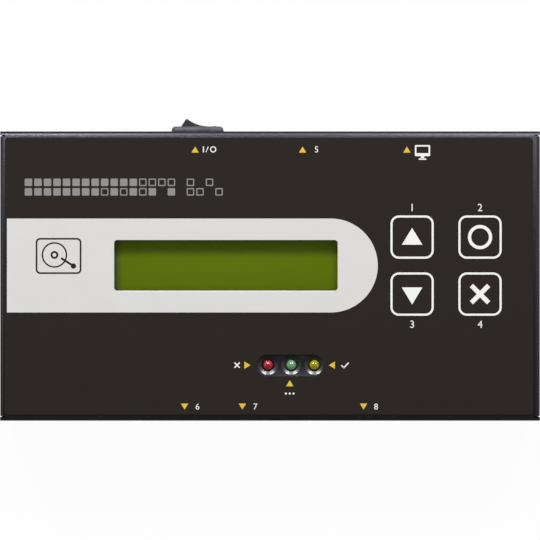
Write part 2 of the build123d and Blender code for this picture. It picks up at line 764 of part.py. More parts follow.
def make_jack_body():
    """Power inlet with a round bore, a tall front flange and a lower rear half."""
    half = JACK_WIDTH / 2
    across = (JACK_X - half, JACK_X + half)
    front = REAR_MOUTH
    top = MAIN_TOP + JACK_HEIGHT
    body = block(across, (front - JACK_FLANGE, front), (MAIN_TOP, top))
    body += block(across, (front - JACK_DEPTH, front - JACK_FLANGE), (MAIN_TOP, top - JACK_STEP))
    rear_top = body.edges().filter_by(Axis.Y).group_by(Axis.Z)[-2]
    body = chamfer(rear_top, JACK_BEVEL)
    bore = Cylinder(JACK_BORE_R, JACK_BORE_DEPTH)
    body -= Pos(JACK_X, front - JACK_BORE_DEPTH / 2, MAIN_TOP + JACK_AXIS) * Rot(90, 0, 0) * bore
    return body


def make_jack_pin():
    """Centre pin of the power inlet."""
    length = JACK_BORE_DEPTH - JACK_PIN_INSET
    middle = REAR_MOUTH - JACK_BORE_DEPTH + length / 2
    return Pos(JACK_X, middle, MAIN_TOP + JACK_AXIS) * Rot(90, 0, 0) * Cylinder(JACK_PIN_R, length)


def usb_outline(shrink):
    """Square port outline with its two upper corners bevelled."""
    half = USB_WIDTH / 2 - shrink
    low = shrink
    high = USB_HEIGHT - shrink
    bevel = USB_BEVEL - shrink * USB_BEVEL_SHRINK
    return make_face(Polyline(
        (-half, low), (half, low), (half, high - bevel), (half - bevel, high),
        (bevel - half, high), (-half, high - bevel), close=True))


def make_usb_shell():
    """Bent metal shell of the computer port."""
    back = Plane(origin=(USB_X, REAR_MOUTH, MAIN_TOP), x_dir=(-1, 0, 0), z_dir=(0, 1, 0))
    shell = extrude(back * usb_outline(0), -USB_DEPTH)
    return shell - extrude(back * usb_outline(USB_SHELL), 2 * USB_DEPTH, both=True)


def make_usb_insert():
    """Moulded insert: a plug at the back of the shell and the contact tongue."""
    back = Plane(origin=(USB_X, REAR_MOUTH, MAIN_TOP), x_dir=(-1, 0, 0), z_dir=(0, 1, 0))
    plug = extrude(back.offset(-USB_DEPTH) * usb_outline(USB_SHELL), USB_FLOOR)
    middle = MAIN_TOP + USB_HEIGHT / 2
    tongue_y = (REAR_MOUTH - USB_DEPTH + USB_FLOOR - USB_TONGUE_ROOT, REAR_MOUTH - USB_TONGUE_INSET)
    tongue_x = (USB_X - USB_TONGUE[0] / 2, USB_X + USB_TONGUE[0] / 2)
    tongue = block(tongue_x, tongue_y, (middle - USB_TONGUE[1] / 2, middle + USB_TONGUE[1] / 2))
    return plug + tongue


def make_rocker_housing():
    """Snap-in body of the rocker switch with its raised bezel."""
    wall = HALF_Y
    length, height, raise_by = ROCKER_BEZEL
    bezel = Pos(ROCKER_X, wall + raise_by / 2, ROCKER_Z) * Box(length, raise_by, height)
    bezel = fillet(bezel.edges().filter_by(Axis.Y), ROCKER_BEZEL_CORNER_R)
    bezel = fillet(bezel.edges().group_by(Axis.Y)[-1], ROCKER_BEZEL_EDGE_R)
    body = Box(ROCKER_BODY[0], wall - ROCKER_REAR, ROCKER_BODY[1])
    housing = bezel + Pos(ROCKER_X, (wall + ROCKER_REAR) / 2, ROCKER_Z) * body
    low = ROCKER_REAR + ROCKER_FLOOR
    high = wall + raise_by + 1
    housing -= Pos(ROCKER_X, (low + high) / 2, ROCKER_Z) * Box(ROCKER_CAVITY[0], high - low, ROCKER_CAVITY[1])
    axle = Cylinder(TRUNNION_R + TRUNNION_PLAY, 2 * ROCKER_BODY[1])
    housing -= Pos(ROCKER_X, ROCKER_PIVOT_Y, ROCKER_Z) * axle
    for side in (-1, 1):
        slot = Pos(ROCKER_X + side * TERMINAL_OFFSET, ROCKER_REAR, ROCKER_Z)
        housing -= slot * Box(TERMINAL[0], 4 * ROCKER_FLOOR, TERMINAL[1])
    return housing


def make_paddle():
    """Rocker paddle with a hollow face, tilted to one stop, on two short trunnions."""
    right = [PADDLE_TIP, *PADDLE_SIDE]
    left = [(-x, y) for x, y in reversed(right)]
    face = ThreePointArc(left[-1], (0, PADDLE_HOLLOW), right[0])
    outline = make_face([face, *Polyline(*right, *left).edges()])
    paddle = extrude(outline, PADDLE_WIDTH / 2, both=True)
    ends = [edge for edge in paddle.edges().filter_by(Axis.Z) if edge.center().Y > PADDLE_TIP[1] - 0.1]
    paddle = fillet(ends, PADDLE_TIP_R)
    paddle += Cylinder(TRUNNION_R, PADDLE_WIDTH + 2 * TRUNNION_LENGTH)
    return Pos(ROCKER_X, ROCKER_PIVOT_Y, ROCKER_Z) * Rot(0, 0, -ROCKER_TILT) * paddle


def make_terminals():
    """Flat tabs through the switch's floor."""
    tabs = []
    inner = ROCKER_REAR + ROCKER_FLOOR + TERMINAL_REACH
    for side in (-1, 1):
        x = ROCKER_X + side * TERMINAL_OFFSET
        z = (ROCKER_Z - TERMINAL[1] / 2, ROCKER_Z + TERMINAL[1] / 2)
        tabs.append(block((x - TERMINAL[0] / 2, x + TERMINAL[0] / 2), (TERMINAL_END, inner), z))
    return tabs


def make_wires():
    """Two insulated wires from the tabs down to the main board."""
    wires = []
    for side in (-1, 1):
        x = ROCKER_X + side * TERMINAL_OFFSET
        corners = [(x, TERMINAL_END, ROCKER_Z), (x, WIRE_DROP_Y, ROCKER_Z), (x, WIRE_DROP_Y, MAIN_TOP)]
        path = FilletPolyline(*corners, radius=WIRE_BEND)
        ring = Plane(origin=path @ 0, x_dir=(1, 0, 0), z_dir=path % 0) * RegularPolygon(WIRE_R, FACES)
        wires.append(sweep(ring, path=path))
    return wires


os.makedirs("parts", exist_ok=True)

save("top_cover", make_cover())
save("cover_screws", *make_cover_screws())
save("base_plate", make_base())
save("rubber_feet", *make_feet())
save("graphic_overlay", make_film())
for key_name, key_spot in KEY_SPOTS.items():
    save(key_name, make_key(key_spot))
    save(key_name + "_plunger", make_plunger(key_spot))
save("key_switch_bodies", *make_switch_bodies())
for led_name, led_x in LED_SPOTS.items():
    save(led_name, make_led(led_x))
save("led_cups", *make_cups())
save("panel_board", make_panel_board())
save("panel_spacers", *make_spacers(PANEL_SPACERS, PANEL_TOP))
save("panel_screws", *make_small_screws(PANEL_SPACERS, PANEL_TOP))
save("display_board", make_display_board())
save("display_frame", make_display_frame())
save("display_glass", make_display_glass())
save("display_backlight", make_backlight())
save("display_spacers", *make_spacers(display_spots(), DISPLAY_BOARD_TOP))
save("display_screws", *make_small_screws(display_spots(), DISPLAY_BOARD_TOP))
save("link_socket", make_link_socket())
save("link_strip", make_link_strip())
save("link_pins", *make_link_pins())
save("main_board", make_main_board())
save("board_standoffs", *make_standoffs())
save("board_screws", *make_board_screws())
save("processor_chip", make_chip(**PROCESSOR))
save("drive_chip", make_chip(**DRIVE_CHIP))
save("memory_chip", make_chip(MEMORY_SPOT, **SMALL_CHIP))
save("power_switches", *(make_chip(spot, **SMALL_CHIP) for spot in POWER_SWITCH_SPOTS))
save("crystal", make_crystal())
save("capacitors", *make_capacitors())
save("power_inductor", make_inductor())
save("regulator", on_board(*REGULATOR) + on_board(*REGULATOR_TAB))
save("fuse", on_board(*FUSE))
save("resistor_packs", *make_resistor_packs())
save("panel_cable", make_panel_cable())
save("cable_headers", *make_cable_headers())
save("ide_shroud", make_ide_shroud())
save("ide_pins", *make_ide_pins())
save("sata_body", make_sata_body())
save("sata_contacts", *make_sata_contacts())
save("outlet_body", make_outlet_body())
save("outlet_pins", *make_outlet_pins())
save("jack_body", make_jack_body())
save("jack_pin", make_jack_pin())
save("usb_shell", make_usb_shell())
save("usb_insert", make_usb_insert())
save("rocker_housing", make_rocker_housing())
save("rocker_paddle", make_paddle())
save("rocker_terminals", *make_terminals())
save("switch_wires", *make_wires())
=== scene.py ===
from math import cos, hypot, pi, radians, sin

import bmesh
import bpy
import numpy as np
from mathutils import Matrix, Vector, geometry


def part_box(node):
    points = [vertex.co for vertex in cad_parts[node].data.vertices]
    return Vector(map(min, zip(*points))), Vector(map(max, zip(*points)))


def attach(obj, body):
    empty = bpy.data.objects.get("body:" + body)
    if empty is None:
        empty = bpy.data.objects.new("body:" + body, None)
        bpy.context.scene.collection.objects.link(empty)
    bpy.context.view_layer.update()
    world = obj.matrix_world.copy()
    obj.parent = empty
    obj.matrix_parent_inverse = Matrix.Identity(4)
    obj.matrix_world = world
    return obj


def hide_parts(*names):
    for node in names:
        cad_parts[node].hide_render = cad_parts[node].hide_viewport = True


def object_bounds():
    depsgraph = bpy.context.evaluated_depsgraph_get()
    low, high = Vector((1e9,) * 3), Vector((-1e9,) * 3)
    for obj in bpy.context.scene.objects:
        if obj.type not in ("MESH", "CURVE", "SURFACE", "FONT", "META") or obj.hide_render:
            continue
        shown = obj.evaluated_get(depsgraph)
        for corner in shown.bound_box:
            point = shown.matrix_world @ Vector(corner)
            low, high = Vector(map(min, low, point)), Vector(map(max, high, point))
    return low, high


# Hard drive erasing station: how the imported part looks. Metres, with sizes given in millimetres
# times MM. The origin is on the table under the middle of the box, +Y to the rear, +Z up.
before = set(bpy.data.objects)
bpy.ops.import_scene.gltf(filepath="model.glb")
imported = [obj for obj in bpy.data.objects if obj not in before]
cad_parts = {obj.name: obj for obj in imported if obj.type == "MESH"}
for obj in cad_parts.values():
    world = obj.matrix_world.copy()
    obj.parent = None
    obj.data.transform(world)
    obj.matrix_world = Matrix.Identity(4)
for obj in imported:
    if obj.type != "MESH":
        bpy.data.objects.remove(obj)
cad_low, cad_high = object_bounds()
MM = 0.001


# Camera: the panel is looked at from straight above, with its front edge at the bottom of the
# picture. The picture takes in 155.8 mm at the height of the panel.
COVER_TOP = 28.0
PICTURE_WIDTH = 155.84
CAMERA_RISE = 1100.0
CAMERA_Y = 1.75

eye = bpy.data.cameras.new("camera")
eye.sensor_width = 36.0
eye.lens = eye.sensor_width * CAMERA_RISE / PICTURE_WIDTH
eye.clip_start = 0.05
eye.clip_end = 50.0
camera = bpy.data.objects.new("camera", eye)
camera.location = (0.0, CAMERA_Y * MM, (COVER_TOP + CAMERA_RISE) * MM)
bpy.context.scene.collection.objects.link(camera)
bpy.context.scene.camera = camera
bpy.context.scene.view_settings.view_transform = "Standard"


# Table and light: a white sweep that keeps a faint shadow, and a dim room that is darker at the
# front and over the camera. Two lamps stand at the rear, half way up, and give most of the light.
class Wire:
    """One socket's value. Sums and products of wires and numbers add the Math nodes they stand for."""

    def __init__(self, bench, socket):
        self.bench = bench
        self.socket = socket

    def __add__(self, other):
        return self.bench.maths("ADD", self, other)

    def __sub__(self, other):
        return self.bench.maths("SUBTRACT", self, other)

    def __rsub__(self, other):
        return self.bench.maths("SUBTRACT", other, self)

    def __mul__(self, other):
        return self.bench.maths("MULTIPLY", self, other)

    def __gt__(self, other):
        return self.bench.maths("GREATER_THAN", self, other)

    def __lt__(self, other):
        return self.bench.maths("LESS_THAN", self, other)

    __radd__ = __add__
    __rmul__ = __mul__


class Bench:
    """One node tree: that of a finish, of the room or of a repeated part."""

    def __init__(self, tree):
        self.tree = tree

    def add(self, kind, settings=None, values=None, out=0):
        made = self.tree.nodes.new(kind)
        for name, value in (settings or {}).items():
            if name == "stops":
                ramp = made.color_ramp
                while len(ramp.elements) < len(value):
                    ramp.elements.new(1.0)
                for element, (place, colour) in zip(ramp.elements, value):
                    element.position = place
                    element.color = (*colour, 1.0)
            else:
                setattr(made, name, value)
        for key, value in (values or {}).items():
            self.feed(made.inputs[key], value)
        return Wire(self, made.outputs[out]) if made.outputs else made

    def feed(self, socket, value):
        if isinstance(value, Wire):
            self.tree.links.new(value.socket, socket)
        else:
            socket.default_value = value

    def maths(self, operation, first, second=0.0):
        return self.add("ShaderNodeMath", {"operation": operation}, {0: first, 1: second})

    def ease(self, value, low, high, start=0.0, end=1.0):
        """Smooth step from start to end while value goes from low to high."""
        return self.add("ShaderNodeMapRange", {"interpolation_type": "SMOOTHSTEP"}, {
            "Value": value, "From Min": low, "From Max": high, "To Min": start, "To Max": end})


ROOM_SOFT = 0.42
REAR_SHINE = 0.32
SIDE_SHINE = 0.36
FRONT_SHINE = 0.025
REAR_PART, SIDE_PART, OVERHEAD_PART = (0.45, 1.0), (-0.6, 0.0), (0.4, 0.95)
TABLE_HALF = 4.0
TABLE_GLOW = 0.96
TABLE_NEAR = 0.015
TABLE_FAR = 0.6
GLOW_FROM, GLOW_TO = 0.1, 0.7
STUDIO_AT = (0.66, 1.32, 1.195)
STUDIO_SIZE = 0.5
STUDIO_POWER = 15.0

room = bpy.data.worlds.new("room")
room.use_nodes = True
bpy.context.scene.world = room
sky = Bench(room.node_tree)
heading = sky.add("ShaderNodeTexCoord", out="Generated")
depth, height = (sky.add("ShaderNodeSeparateXYZ", None, {0: heading}, i) for i in (1, 2))
path = sky.add("ShaderNodeLightPath", out="Is Camera Ray")
mirrored = sky.add("ShaderNodeLightPath", out="Is Glossy Ray")
through = sky.add("ShaderNodeLightPath", out="Is Transmission Ray")
rear = sky.ease(depth, *REAR_PART)
beside = sky.ease(depth, *SIDE_PART) * (1 - rear) * (1 - sky.ease(height, *OVERHEAD_PART))
shine = FRONT_SHINE + rear * REAR_SHINE + beside * SIDE_SHINE
reflecting = sky.maths("MAXIMUM", mirrored, through)
level = path + (1 - path) * (reflecting * shine + (1 - reflecting) * ROOM_SOFT)
sky.feed(room.node_tree.nodes["Background"].inputs["Strength"], level)
room.node_tree.nodes["Background"].inputs["Color"].default_value = (1.0, 1.0, 1.0, 1.0)

table_mesh = bpy.data.meshes.new("table")
table_corners = [(x * TABLE_HALF, y * TABLE_HALF, 0) for x, y in ((-1, -1), (1, -1), (1, 1), (-1, 1))]
table_mesh.from_pydata(table_corners, [], [(0, 1, 2, 3)])
table = bpy.data.objects.new("table", table_mesh)
bpy.context.scene.collection.objects.link(table)
table_finish = bpy.data.materials.new("table_sweep")
table_finish.use_nodes = True
sweep = Bench(table_finish.node_tree)
direct = sweep.add("ShaderNodeLightPath", out="Is Camera Ray")
seen = sweep.maths("MAXIMUM", direct, sweep.add("ShaderNodeLightPath", out="Is Glossy Ray"))
seen = sweep.maths("MAXIMUM", seen, sweep.add("ShaderNodeLightPath", out="Is Transmission Ray"))
paper = sweep.add("ShaderNodeBsdfDiffuse", None, {"Color": (0.9, 0.9, 0.9, 1.0)})
place = sweep.add("ShaderNodeTexCoord", out="Object")
away = sweep.add("ShaderNodeVectorMath", {"operation": "LENGTH"}, {0: place}, "Value")
# Seen in reflections the sweep glows dimly close to the box and brighter further off: painted shade near the
# box.
level = direct + (1 - direct) * sweep.ease(away, GLOW_FROM, GLOW_TO, TABLE_NEAR, TABLE_FAR)
glow = sweep.add("ShaderNodeEmission", None, {"Color": (1.0, 1.0, 1.0, 1.0), "Strength": level})
mixed = sweep.add("ShaderNodeMixShader", None, {0: seen * TABLE_GLOW, 1: paper, 2: glow})
sweep.feed(table_finish.node_tree.nodes["Material Output"].inputs["Surface"], mixed)
table_mesh.materials.append(table_finish)

for side, name in ((-1, "left_lamp"), (1, "right_lamp")):
    light = bpy.data.lights.new(name, "AREA")
    light.shape = "SQUARE"
    light.size = STUDIO_SIZE
    light.energy = STUDIO_POWER
    lamp = bpy.data.objects.new(name, light)
    lamp.location = (side * STUDIO_AT[0], STUDIO_AT[1], STUDIO_AT[2])
    lamp.rotation_euler = (-lamp.location).to_track_quat("-Z", "Y").to_euler()
    lamp.visible_camera = False
    bpy.context.scene.collection.objects.link(lamp)


# Cover: steel sheet folded down on four sides and powder-coated almost black with a fine orange
# peel. Its cut edges are rounded by the coat. The base plate has the same coat.
COAT_COLOUR = (0.0078, 0.0072, 0.0100)
COAT_EASE = 0.12


class Finish(Bench):
    """A procedural material that follows the piece it is on."""

    def __init__(self, name, colour, roughness, **uniform):
        self.material = bpy.data.materials.new(name)
        self.material.use_nodes = True
        super().__init__(self.material.node_tree)
        self.shader = self.tree.nodes["Principled BSDF"]
        self.set("Base Color", (*colour, 1.0))
        self.set("Roughness", roughness)
        for socket, value in uniform.items():
            self.set(socket.replace("_", " "), value)
        self.here = self.add("ShaderNodeTexCoord", out="Object")

    def set(self, socket, value):
        self.feed(self.shader.inputs[socket], value)

    def grain(self, size, detail=2.0, stretch=(1.0, 1.0, 1.0)):
        """Cloudy pattern from 0 to 1 with lumps of about this many millimetres."""
        place = self.add("ShaderNodeMapping", None, {"Vector": self.here, "Scale": stretch})
        return self.add("ShaderNodeTexNoise", None, {
            "Vector": place, "Scale": 1.0 / (size * MM), "Detail": detail, "Roughness": 0.55})

    def specks(self, size, radius, share):
        """1 on round specks, one at most in each cell of this many millimetres, in a share of them."""
        cell = {"Vector": self.here, "Scale": 1.0 / (size * MM)}
        near = self.add("ShaderNodeTexVoronoi", None, cell, "Distance") < radius / size
        pick = self.add("ShaderNodeTexVoronoi", None, cell, "Color") > 1.0 - share
        return near * pick

    def mix(self, share, first, second):
        """Colour between two colours."""
        first, second = (c if isinstance(c, Wire) else (*c[:3], 1.0) for c in (first, second))
        return self.add("ShaderNodeMix", {"data_type": "RGBA"}, {0: share, 6: first, 7: second}, 2)

    def bump(self, height, rise, strength=1.0):
        """Let a pattern stand this many millimetres proud."""
        self.set("Normal", self.add("ShaderNodeBump", None, {
            "Strength": strength, "Distance": rise * MM, "Height": height}))


def powder_coat(name, colour):
    """Textured powder coat: soft lumps, with a finer grain and pale specks on it."""
    coat = Finish(name, colour, 0.38, IOR=1.7, Specular_IOR_Level=1.0,
                  Specular_Tint=(0.78, 0.76, 0.90, 1.0))
    lumps = coat.grain(0.55, 1.5)
    fine = coat.grain(0.17, 2.0)
    dust = coat.specks(0.9, 0.16, 0.25)
    tone = coat.ease(fine * 0.6 + lumps * 0.4, 0.35, 0.7)
    body = coat.mix(tone, tuple(c * 0.7 for c in colour), tuple(c * 1.6 for c in colour))
    coat.set("Base Color", coat.mix(dust * 0.5, body, (0.11, 0.11, 0.125)))
    coat.set("Roughness", 0.25 + fine * 0.2)
    coat.bump(lumps * 0.55 + fine * 0.6, 0.045)
    return coat


def eased_copy(name, ease, finish, slot, body="enclosure", rounds=2, sharp=25.0):
    """A node's own shape with its edges broken as the real piece has them, standing for the node."""
    shape = bmesh.new()
    shape.from_mesh(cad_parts[name].data)
    bmesh.ops.remove_doubles(shape, verts=shape.verts, dist=1e-6)
    bmesh.ops.dissolve_limit(shape, angle_limit=radians(1.0), verts=shape.verts, edges=shape.edges)
    edges = [e for e in shape.edges if e.is_manifold and e.calc_face_angle(0.0) > radians(sharp)]
    bmesh.ops.bevel(shape, geom=edges, offset=ease * MM, offset_type="OFFSET", segments=rounds,
                    profile=0.5, affect="EDGES", clamp_overlap=True)
    mesh = bpy.data.meshes.new(name + "_piece")
    shape.to_mesh(mesh)
    shape.free()
    return show(name + "_piece", mesh, finish, slot, body, name)


def show(name, mesh, finish, slot, body="enclosure", *nodes):
    """Put a finished mesh in the scene, on its body, in place of the nodes it stands for."""
    piece = bpy.data.objects.new(name, mesh)
    bpy.context.scene.collection.objects.link(piece)
    if finish is not None:
        mesh.materials.clear()
        mesh.materials.append(finish.material)
        mesh.polygons.foreach_set("material_index", [0] * len(mesh.polygons))
    mesh.shade_smooth()
    mesh.set_sharp_from_angle(angle=radians(32.0))
    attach(piece, body)
    if nodes:
        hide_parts(*nodes)
    return piece


cover_coat = powder_coat("cover_coat", COAT_COLOUR)
eased_copy("top_cover", COAT_EASE, cover_coat, "cover_paint")


# Base plate: the same steel sheet and coat, with two flanges that stand inside the cover's ends
# and take its screws. Four self-adhesive feet of black rubber carry the box.
base_coat = powder_coat("base_coat", tuple(c * 1.15 for c in COAT_COLOUR))
eased_copy("base_plate", COAT_EASE, base_coat, "base_paint")

rubber = Finish("foot_rubber", (0.022, 0.021, 0.02), 0.75, Specular_IOR_Level=0.35)
scuff = rubber.grain(1.2, 4.0)
rubbed = rubber.ease(scuff, 0.45, 0.75)
rubber.set("Base Color", rubber.mix(rubbed, (0.016, 0.016, 0.016), (0.05, 0.048, 0.045)))
rubber.set("Roughness", 0.62 + scuff * 0.25)
rubber.bump(rubber.grain(0.25, 3.0), 0.02)
eased_copy("rubber_feet", 0.25, rubber, "foot_rubber")


# Cover screws: four countersunk steel screws with a cross recess, blackened and flush with the
# cover's ends, driven into the flanges of the base plate.
SCREW_Y, SCREW_Z = 26.0, 9.0
SCREW_SPOTS = [(x / MM, y, SCREW_Z) for x in (cad_low.x, cad_high.x) for y in (-SCREW_Y, SCREW_Y)]
SCREW_SIZES = {"Head radius": 2.75, "Shank radius": 1.45, "Length": 5.0,
               "Recess width": 0.62, "Recess span": 3.1, "Recess depth": 0.95}


class Pattern(Bench):
    """Geometry nodes that set a shape on points. Its sizes are the modifier's named inputs."""

    def __init__(self, name, sizes):
        super().__init__(bpy.data.node_groups.new(name, "GeometryNodeTree"))
        face = self.tree.interface
        face.new_socket("Points", in_out="INPUT", socket_type="NodeSocketGeometry")
        for size in sizes:
            face.new_socket(size, in_out="INPUT", socket_type="NodeSocketFloat")
        face.new_socket("Geometry", in_out="OUTPUT", socket_type="NodeSocketGeometry")
        self.entry = self.tree.nodes.new("NodeGroupInput")
        self.sizes = sizes
        self.points = self.inlet("Points")

    def inlet(self, name):
        return Wire(self, self.entry.outputs[name])

    def vector(self, x, y, z):
        return self.add("ShaderNodeCombineXYZ", None, {0: x, 1: y, 2: z})

    def move(self, shape, z):
        rise = self.vector(0.0, 0.0, z)
        return self.add("GeometryNodeTransform", None, {"Geometry": shape, "Translation": rise})

    def join(self, *shapes):
        node = self.tree.nodes.new("GeometryNodeJoinGeometry")
        for shape in shapes:
            self.tree.links.new(shape.socket, node.inputs[0])
        return Wire(self, node.outputs[0])

    def on_points(self, shape, scale=None):
        """Set the shape on every point, its +Z along the point's own axis."""
        axis = self.add("GeometryNodeInputNamedAttribute", {"data_type": "FLOAT_VECTOR"}, {"Name": "axis"})
        turn = self.add("FunctionNodeAlignRotationToVector", {"axis": "Z"}, {"Vector": axis})
        values = {"Points": self.points, "Instance": shape, "Rotation": turn}
        if scale is not None:
            values["Scale"] = scale
        return self.add("GeometryNodeInstanceOnPoints", None, values)

    def result(self, shape, finish):
        """End the tree in real geometry with its finish on it."""
        solid = self.add("GeometryNodeRealizeInstances", None, {"Geometry": shape})
        done = self.add("GeometryNodeSetMaterial", None, {"Geometry": solid, "Material": finish.material})
        self.tree.links.new(done.socket, self.tree.nodes.new("NodeGroupOutput").inputs[0])

    def mesh(self, name, spots, axes, **attributes):
        """Plain mesh that the tree makes from points and their attributes."""
        seeds = bpy.data.meshes.new(name)
        seeds.from_pydata([Vector(spot) * MM for spot in spots], [], [])
        for key, rows in {"axis": axes, **attributes}.items():
            layer = seeds.attributes.new(key, "FLOAT_VECTOR", "POINT")
            layer.data.foreach_set("vector", [value for row in rows for value in row])
        carrier = bpy.data.objects.new(name, seeds)
        bpy.context.scene.collection.objects.link(carrier)
        nodes = carrier.modifiers.new("pattern", "NODES")
        nodes.node_group = self.tree
        for item in self.tree.interface.items_tree:
            if item.in_out == "INPUT" and item.name in self.sizes:
                nodes[item.identifier] = self.sizes[item.name] * MM
        graph = bpy.context.evaluated_depsgraph_get()
        made = bpy.data.meshes.new_from_object(carrier.evaluated_get(graph))
        bpy.data.objects.remove(carrier)
        return made


def soften(piece, width, rounds=2, angle=30.0):
    """Break a piece's edges with a live bevel."""
    bevel = piece.modifiers.new("ease", "BEVEL")
    bevel.width = width * MM
    bevel.segments = rounds
    bevel.limit_method = "ANGLE"
    bevel.angle_limit = radians(angle)
    bevel.use_clamp_overlap = True
    return piece


screw_steel = Finish("screw_steel", (0.055, 0.055, 0.06), 0.36, Metallic=0.85)
wear = screw_steel.grain(0.5, 4.0)
worn = screw_steel.ease(wear, 0.5, 0.8)
screw_steel.set("Base Color", screw_steel.mix(worn, (0.04, 0.04, 0.045), (0.22, 0.22, 0.23)))
screw_steel.set("Roughness", 0.28 + wear * 0.25)
screw_steel.bump(screw_steel.grain(0.12, 2.0), 0.006)

screw = Pattern("cover_screw", SCREW_SIZES)
head_r, shank_r, length = (screw.inlet(n) for n in ("Head radius", "Shank radius", "Length"))
head_depth = head_r - shank_r
head = screw.move(screw.add("GeometryNodeMeshCone", None, {
    "Vertices": 48, "Radius Top": head_r, "Radius Bottom": shank_r, "Depth": head_depth}), -1 * head_depth)
depth_in = screw.inlet("Recess depth") * 2
arms = [screw.add("GeometryNodeMeshCube", None, {"Size": screw.vector(*size, depth_in)}) for size in (
    (screw.inlet("Recess width"), screw.inlet("Recess span")),
    (screw.inlet("Recess span"), screw.inlet("Recess width")))]
cross = screw.add("GeometryNodeMeshBoolean", {"operation": "UNION", "solver": "EXACT"}, {"Mesh 2": arms[0]})
screw.tree.links.new(arms[1].socket, cross.socket.node.inputs["Mesh 2"])
head = screw.add("GeometryNodeMeshBoolean", {"operation": "DIFFERENCE", "solver": "EXACT"}, {
    "Mesh 1": head, "Mesh 2": cross})
shank = screw.add("GeometryNodeMeshCylinder", None, {
    "Vertices": 24, "Radius": shank_r, "Depth": length - head_depth})
shank = screw.move(shank, -0.5 * (length + head_depth))
screw.result(screw.on_points(screw.join(head, shank)), screw_steel)
outwards = [(x, 0, 0) for x, _, _ in SCREW_SPOTS]
screw_mesh = screw.mesh("cover_screw_set", SCREW_SPOTS, outwards)
screws = show("cover_screw_set", screw_mesh, None, "screw_steel", "enclosure", "cover_screws")
soften(screws, 0.07)


# Printed film: polycarbonate, printed on its back and stuck to the cover, cut out over the
# display and the lamps. Each key is the part of the film over a key switch.
FILM_LOW = 28.0
FILM_HIGH = 28.25
FILM_LEFT, FILM_RIGHT, FILM_HALF, FILM_CORNER = -76.5, 75.9, 39.95, 1.0
WINDOW = (-12.72, 3.1, 64.5, 14.6, 0.9)
WINDOW_FRONT = WINDOW[1] - WINDOW[3] / 2
CUT_WIDTH, CUT_DEPTH = 0.31, 0.225
LAMP_SLOT = (5.73, -25.75, 19.3, 6.15, 3.075)
KEYS = {"key_up": (41.0, 11.25), "key_enter": (60.6, 11.25),
        "key_down": (41.0, -5.2), "key_escape": (60.6, -5.2)}
KEY_SIZE, KEY_CORNER, KEY_GAP = 12.64, 2.5, 0.1
RING_OUT, RING_IN = 0.08, 0.68
PANEL_LEFT, PANEL_LOW, PANEL_HIGH, PANEL_END = -75.9, -10.5, 16.6, 17.55


def ink(name, colour, roughness=0.46):
    """One printed colour under the film's fine satin grain."""
    film = Finish("film_" + name, colour, roughness, Specular_IOR_Level=0.25)
    cloud = film.grain(9.0, 3.0)
    pore = film.grain(0.22, 2.0)
    tone = film.ease(cloud * 0.4 + pore * 0.6, 0.3, 0.7)
    thin, full = tuple(c * 0.98 for c in colour), tuple(min(c * 1.02, 1.0) for c in colour)
    film.set("Base Color", film.mix(tone, thin, full))
    film.set("Roughness", roughness - 0.06 + pore * 0.12)
    film.bump(pore, 0.006)
    return film


INKS = {
    "dark": ink("dark", (0.0255, 0.0192, 0.0157)),
    "pale": ink("pale", (0.770, 0.762, 0.747)),
    "white": ink("white", (0.97, 0.97, 0.965)),
    "yellow": ink("yellow", (0.85, 0.56, 0.055)),
    "grey": ink("grey", (0.30, 0.30, 0.30)),
    # The edge ink is the pale colour of the film's cut sides, and a painted highlight on the window's front
    # strip.
    "edge": ink("edge", (0.80, 0.80, 0.80), 0.3),
}
INK_ORDER = list(INKS)


def arc(centre, radius, start, end, steps):
    """Points on an arc, angles in degrees."""
    angles = [radians(start + (end - start) * i / steps) for i in range(steps + 1)]
    return [(centre[0] + radius * cos(a), centre[1] + radius * sin(a)) for a in angles]


def rounded(x, y, length, width, radius, steps=10):
    """Rounded rectangle on a centre."""
    loop = []
    for i, (sx, sy) in enumerate(((1, 1), (-1, 1), (-1, -1), (1, -1))):
        corner = (x + sx * (length / 2 - radius), y + sy * (width / 2 - radius))
        loop += arc(corner, radius, 90 * i, 90 * (i + 1), steps)
    return [p for i, p in enumerate(loop) if hypot(p[0] - loop[i - 1][0], p[1] - loop[i - 1][1]) > 1e-4]


def bar(start, end, width):
    """Straight stroke between two points."""
    dx, dy = end[0] - start[0], end[1] - start[1]
    long = hypot(dx, dy)
    nx, ny = -dy / long * width / 2, dx / long * width / 2
    return [(start[0] + nx, start[1] + ny), (start[0] - nx, start[1] - ny),
            (end[0] - nx, end[1] - ny), (end[0] + nx, end[1] + ny)]


def cross_loop(x, y, span, width):
    """Diagonal cross as one outline."""
    half, w = span / 2 * 2 ** 0.5, width / 2
    loop = [(half, w), (w, w), (w, half), (-w, half), (-w, w), (-half, w),
            (-half, -w), (-w, -w), (-w, -half), (w, -half), (w, -w), (half, -w)]
    c = cos(pi / 4)
    return [(x + c * (a - b), y + c * (a + b)) for a, b in loop]


def number_loops(text, x, y, cap, steps=7):
    """Outlines of plain numbers of this height, centred on a point."""
    letters = bpy.data.curves.new("numbers", "FONT")
    letters.body = text
    holder = bpy.data.objects.new("numbers", letters)
    bpy.context.scene.collection.objects.link(holder)
    drawn = holder.evaluated_get(bpy.context.evaluated_depsgraph_get())
    loops = []
    for spline in drawn.to_curve(bpy.context.evaluated_depsgraph_get()).splines:
        knots = spline.bezier_points
        loop = []
        for i, knot in enumerate(knots):
            after = knots[(i + 1) % len(knots)]
            ends = knot.co, knot.handle_right, after.handle_left, after.co
            part = geometry.interpolate_bezier(*ends, steps)
            loop += [(p.x, p.y) for p in part[:-1]]
        loops.append(loop)
    bpy.data.objects.remove(holder)
    xs = [p[0] for loop in loops for p in loop]
    ys = [p[1] for loop in loops for p in loop]
    scale = cap / (max(ys) - min(ys))
    mid_x, mid_y = (max(xs) + min(xs)) / 2, (max(ys) + min(ys)) / 2
    return [[(x + (a - mid_x) * scale, y + (b - mid_y) * scale) for a, b in loop] for loop in loops]


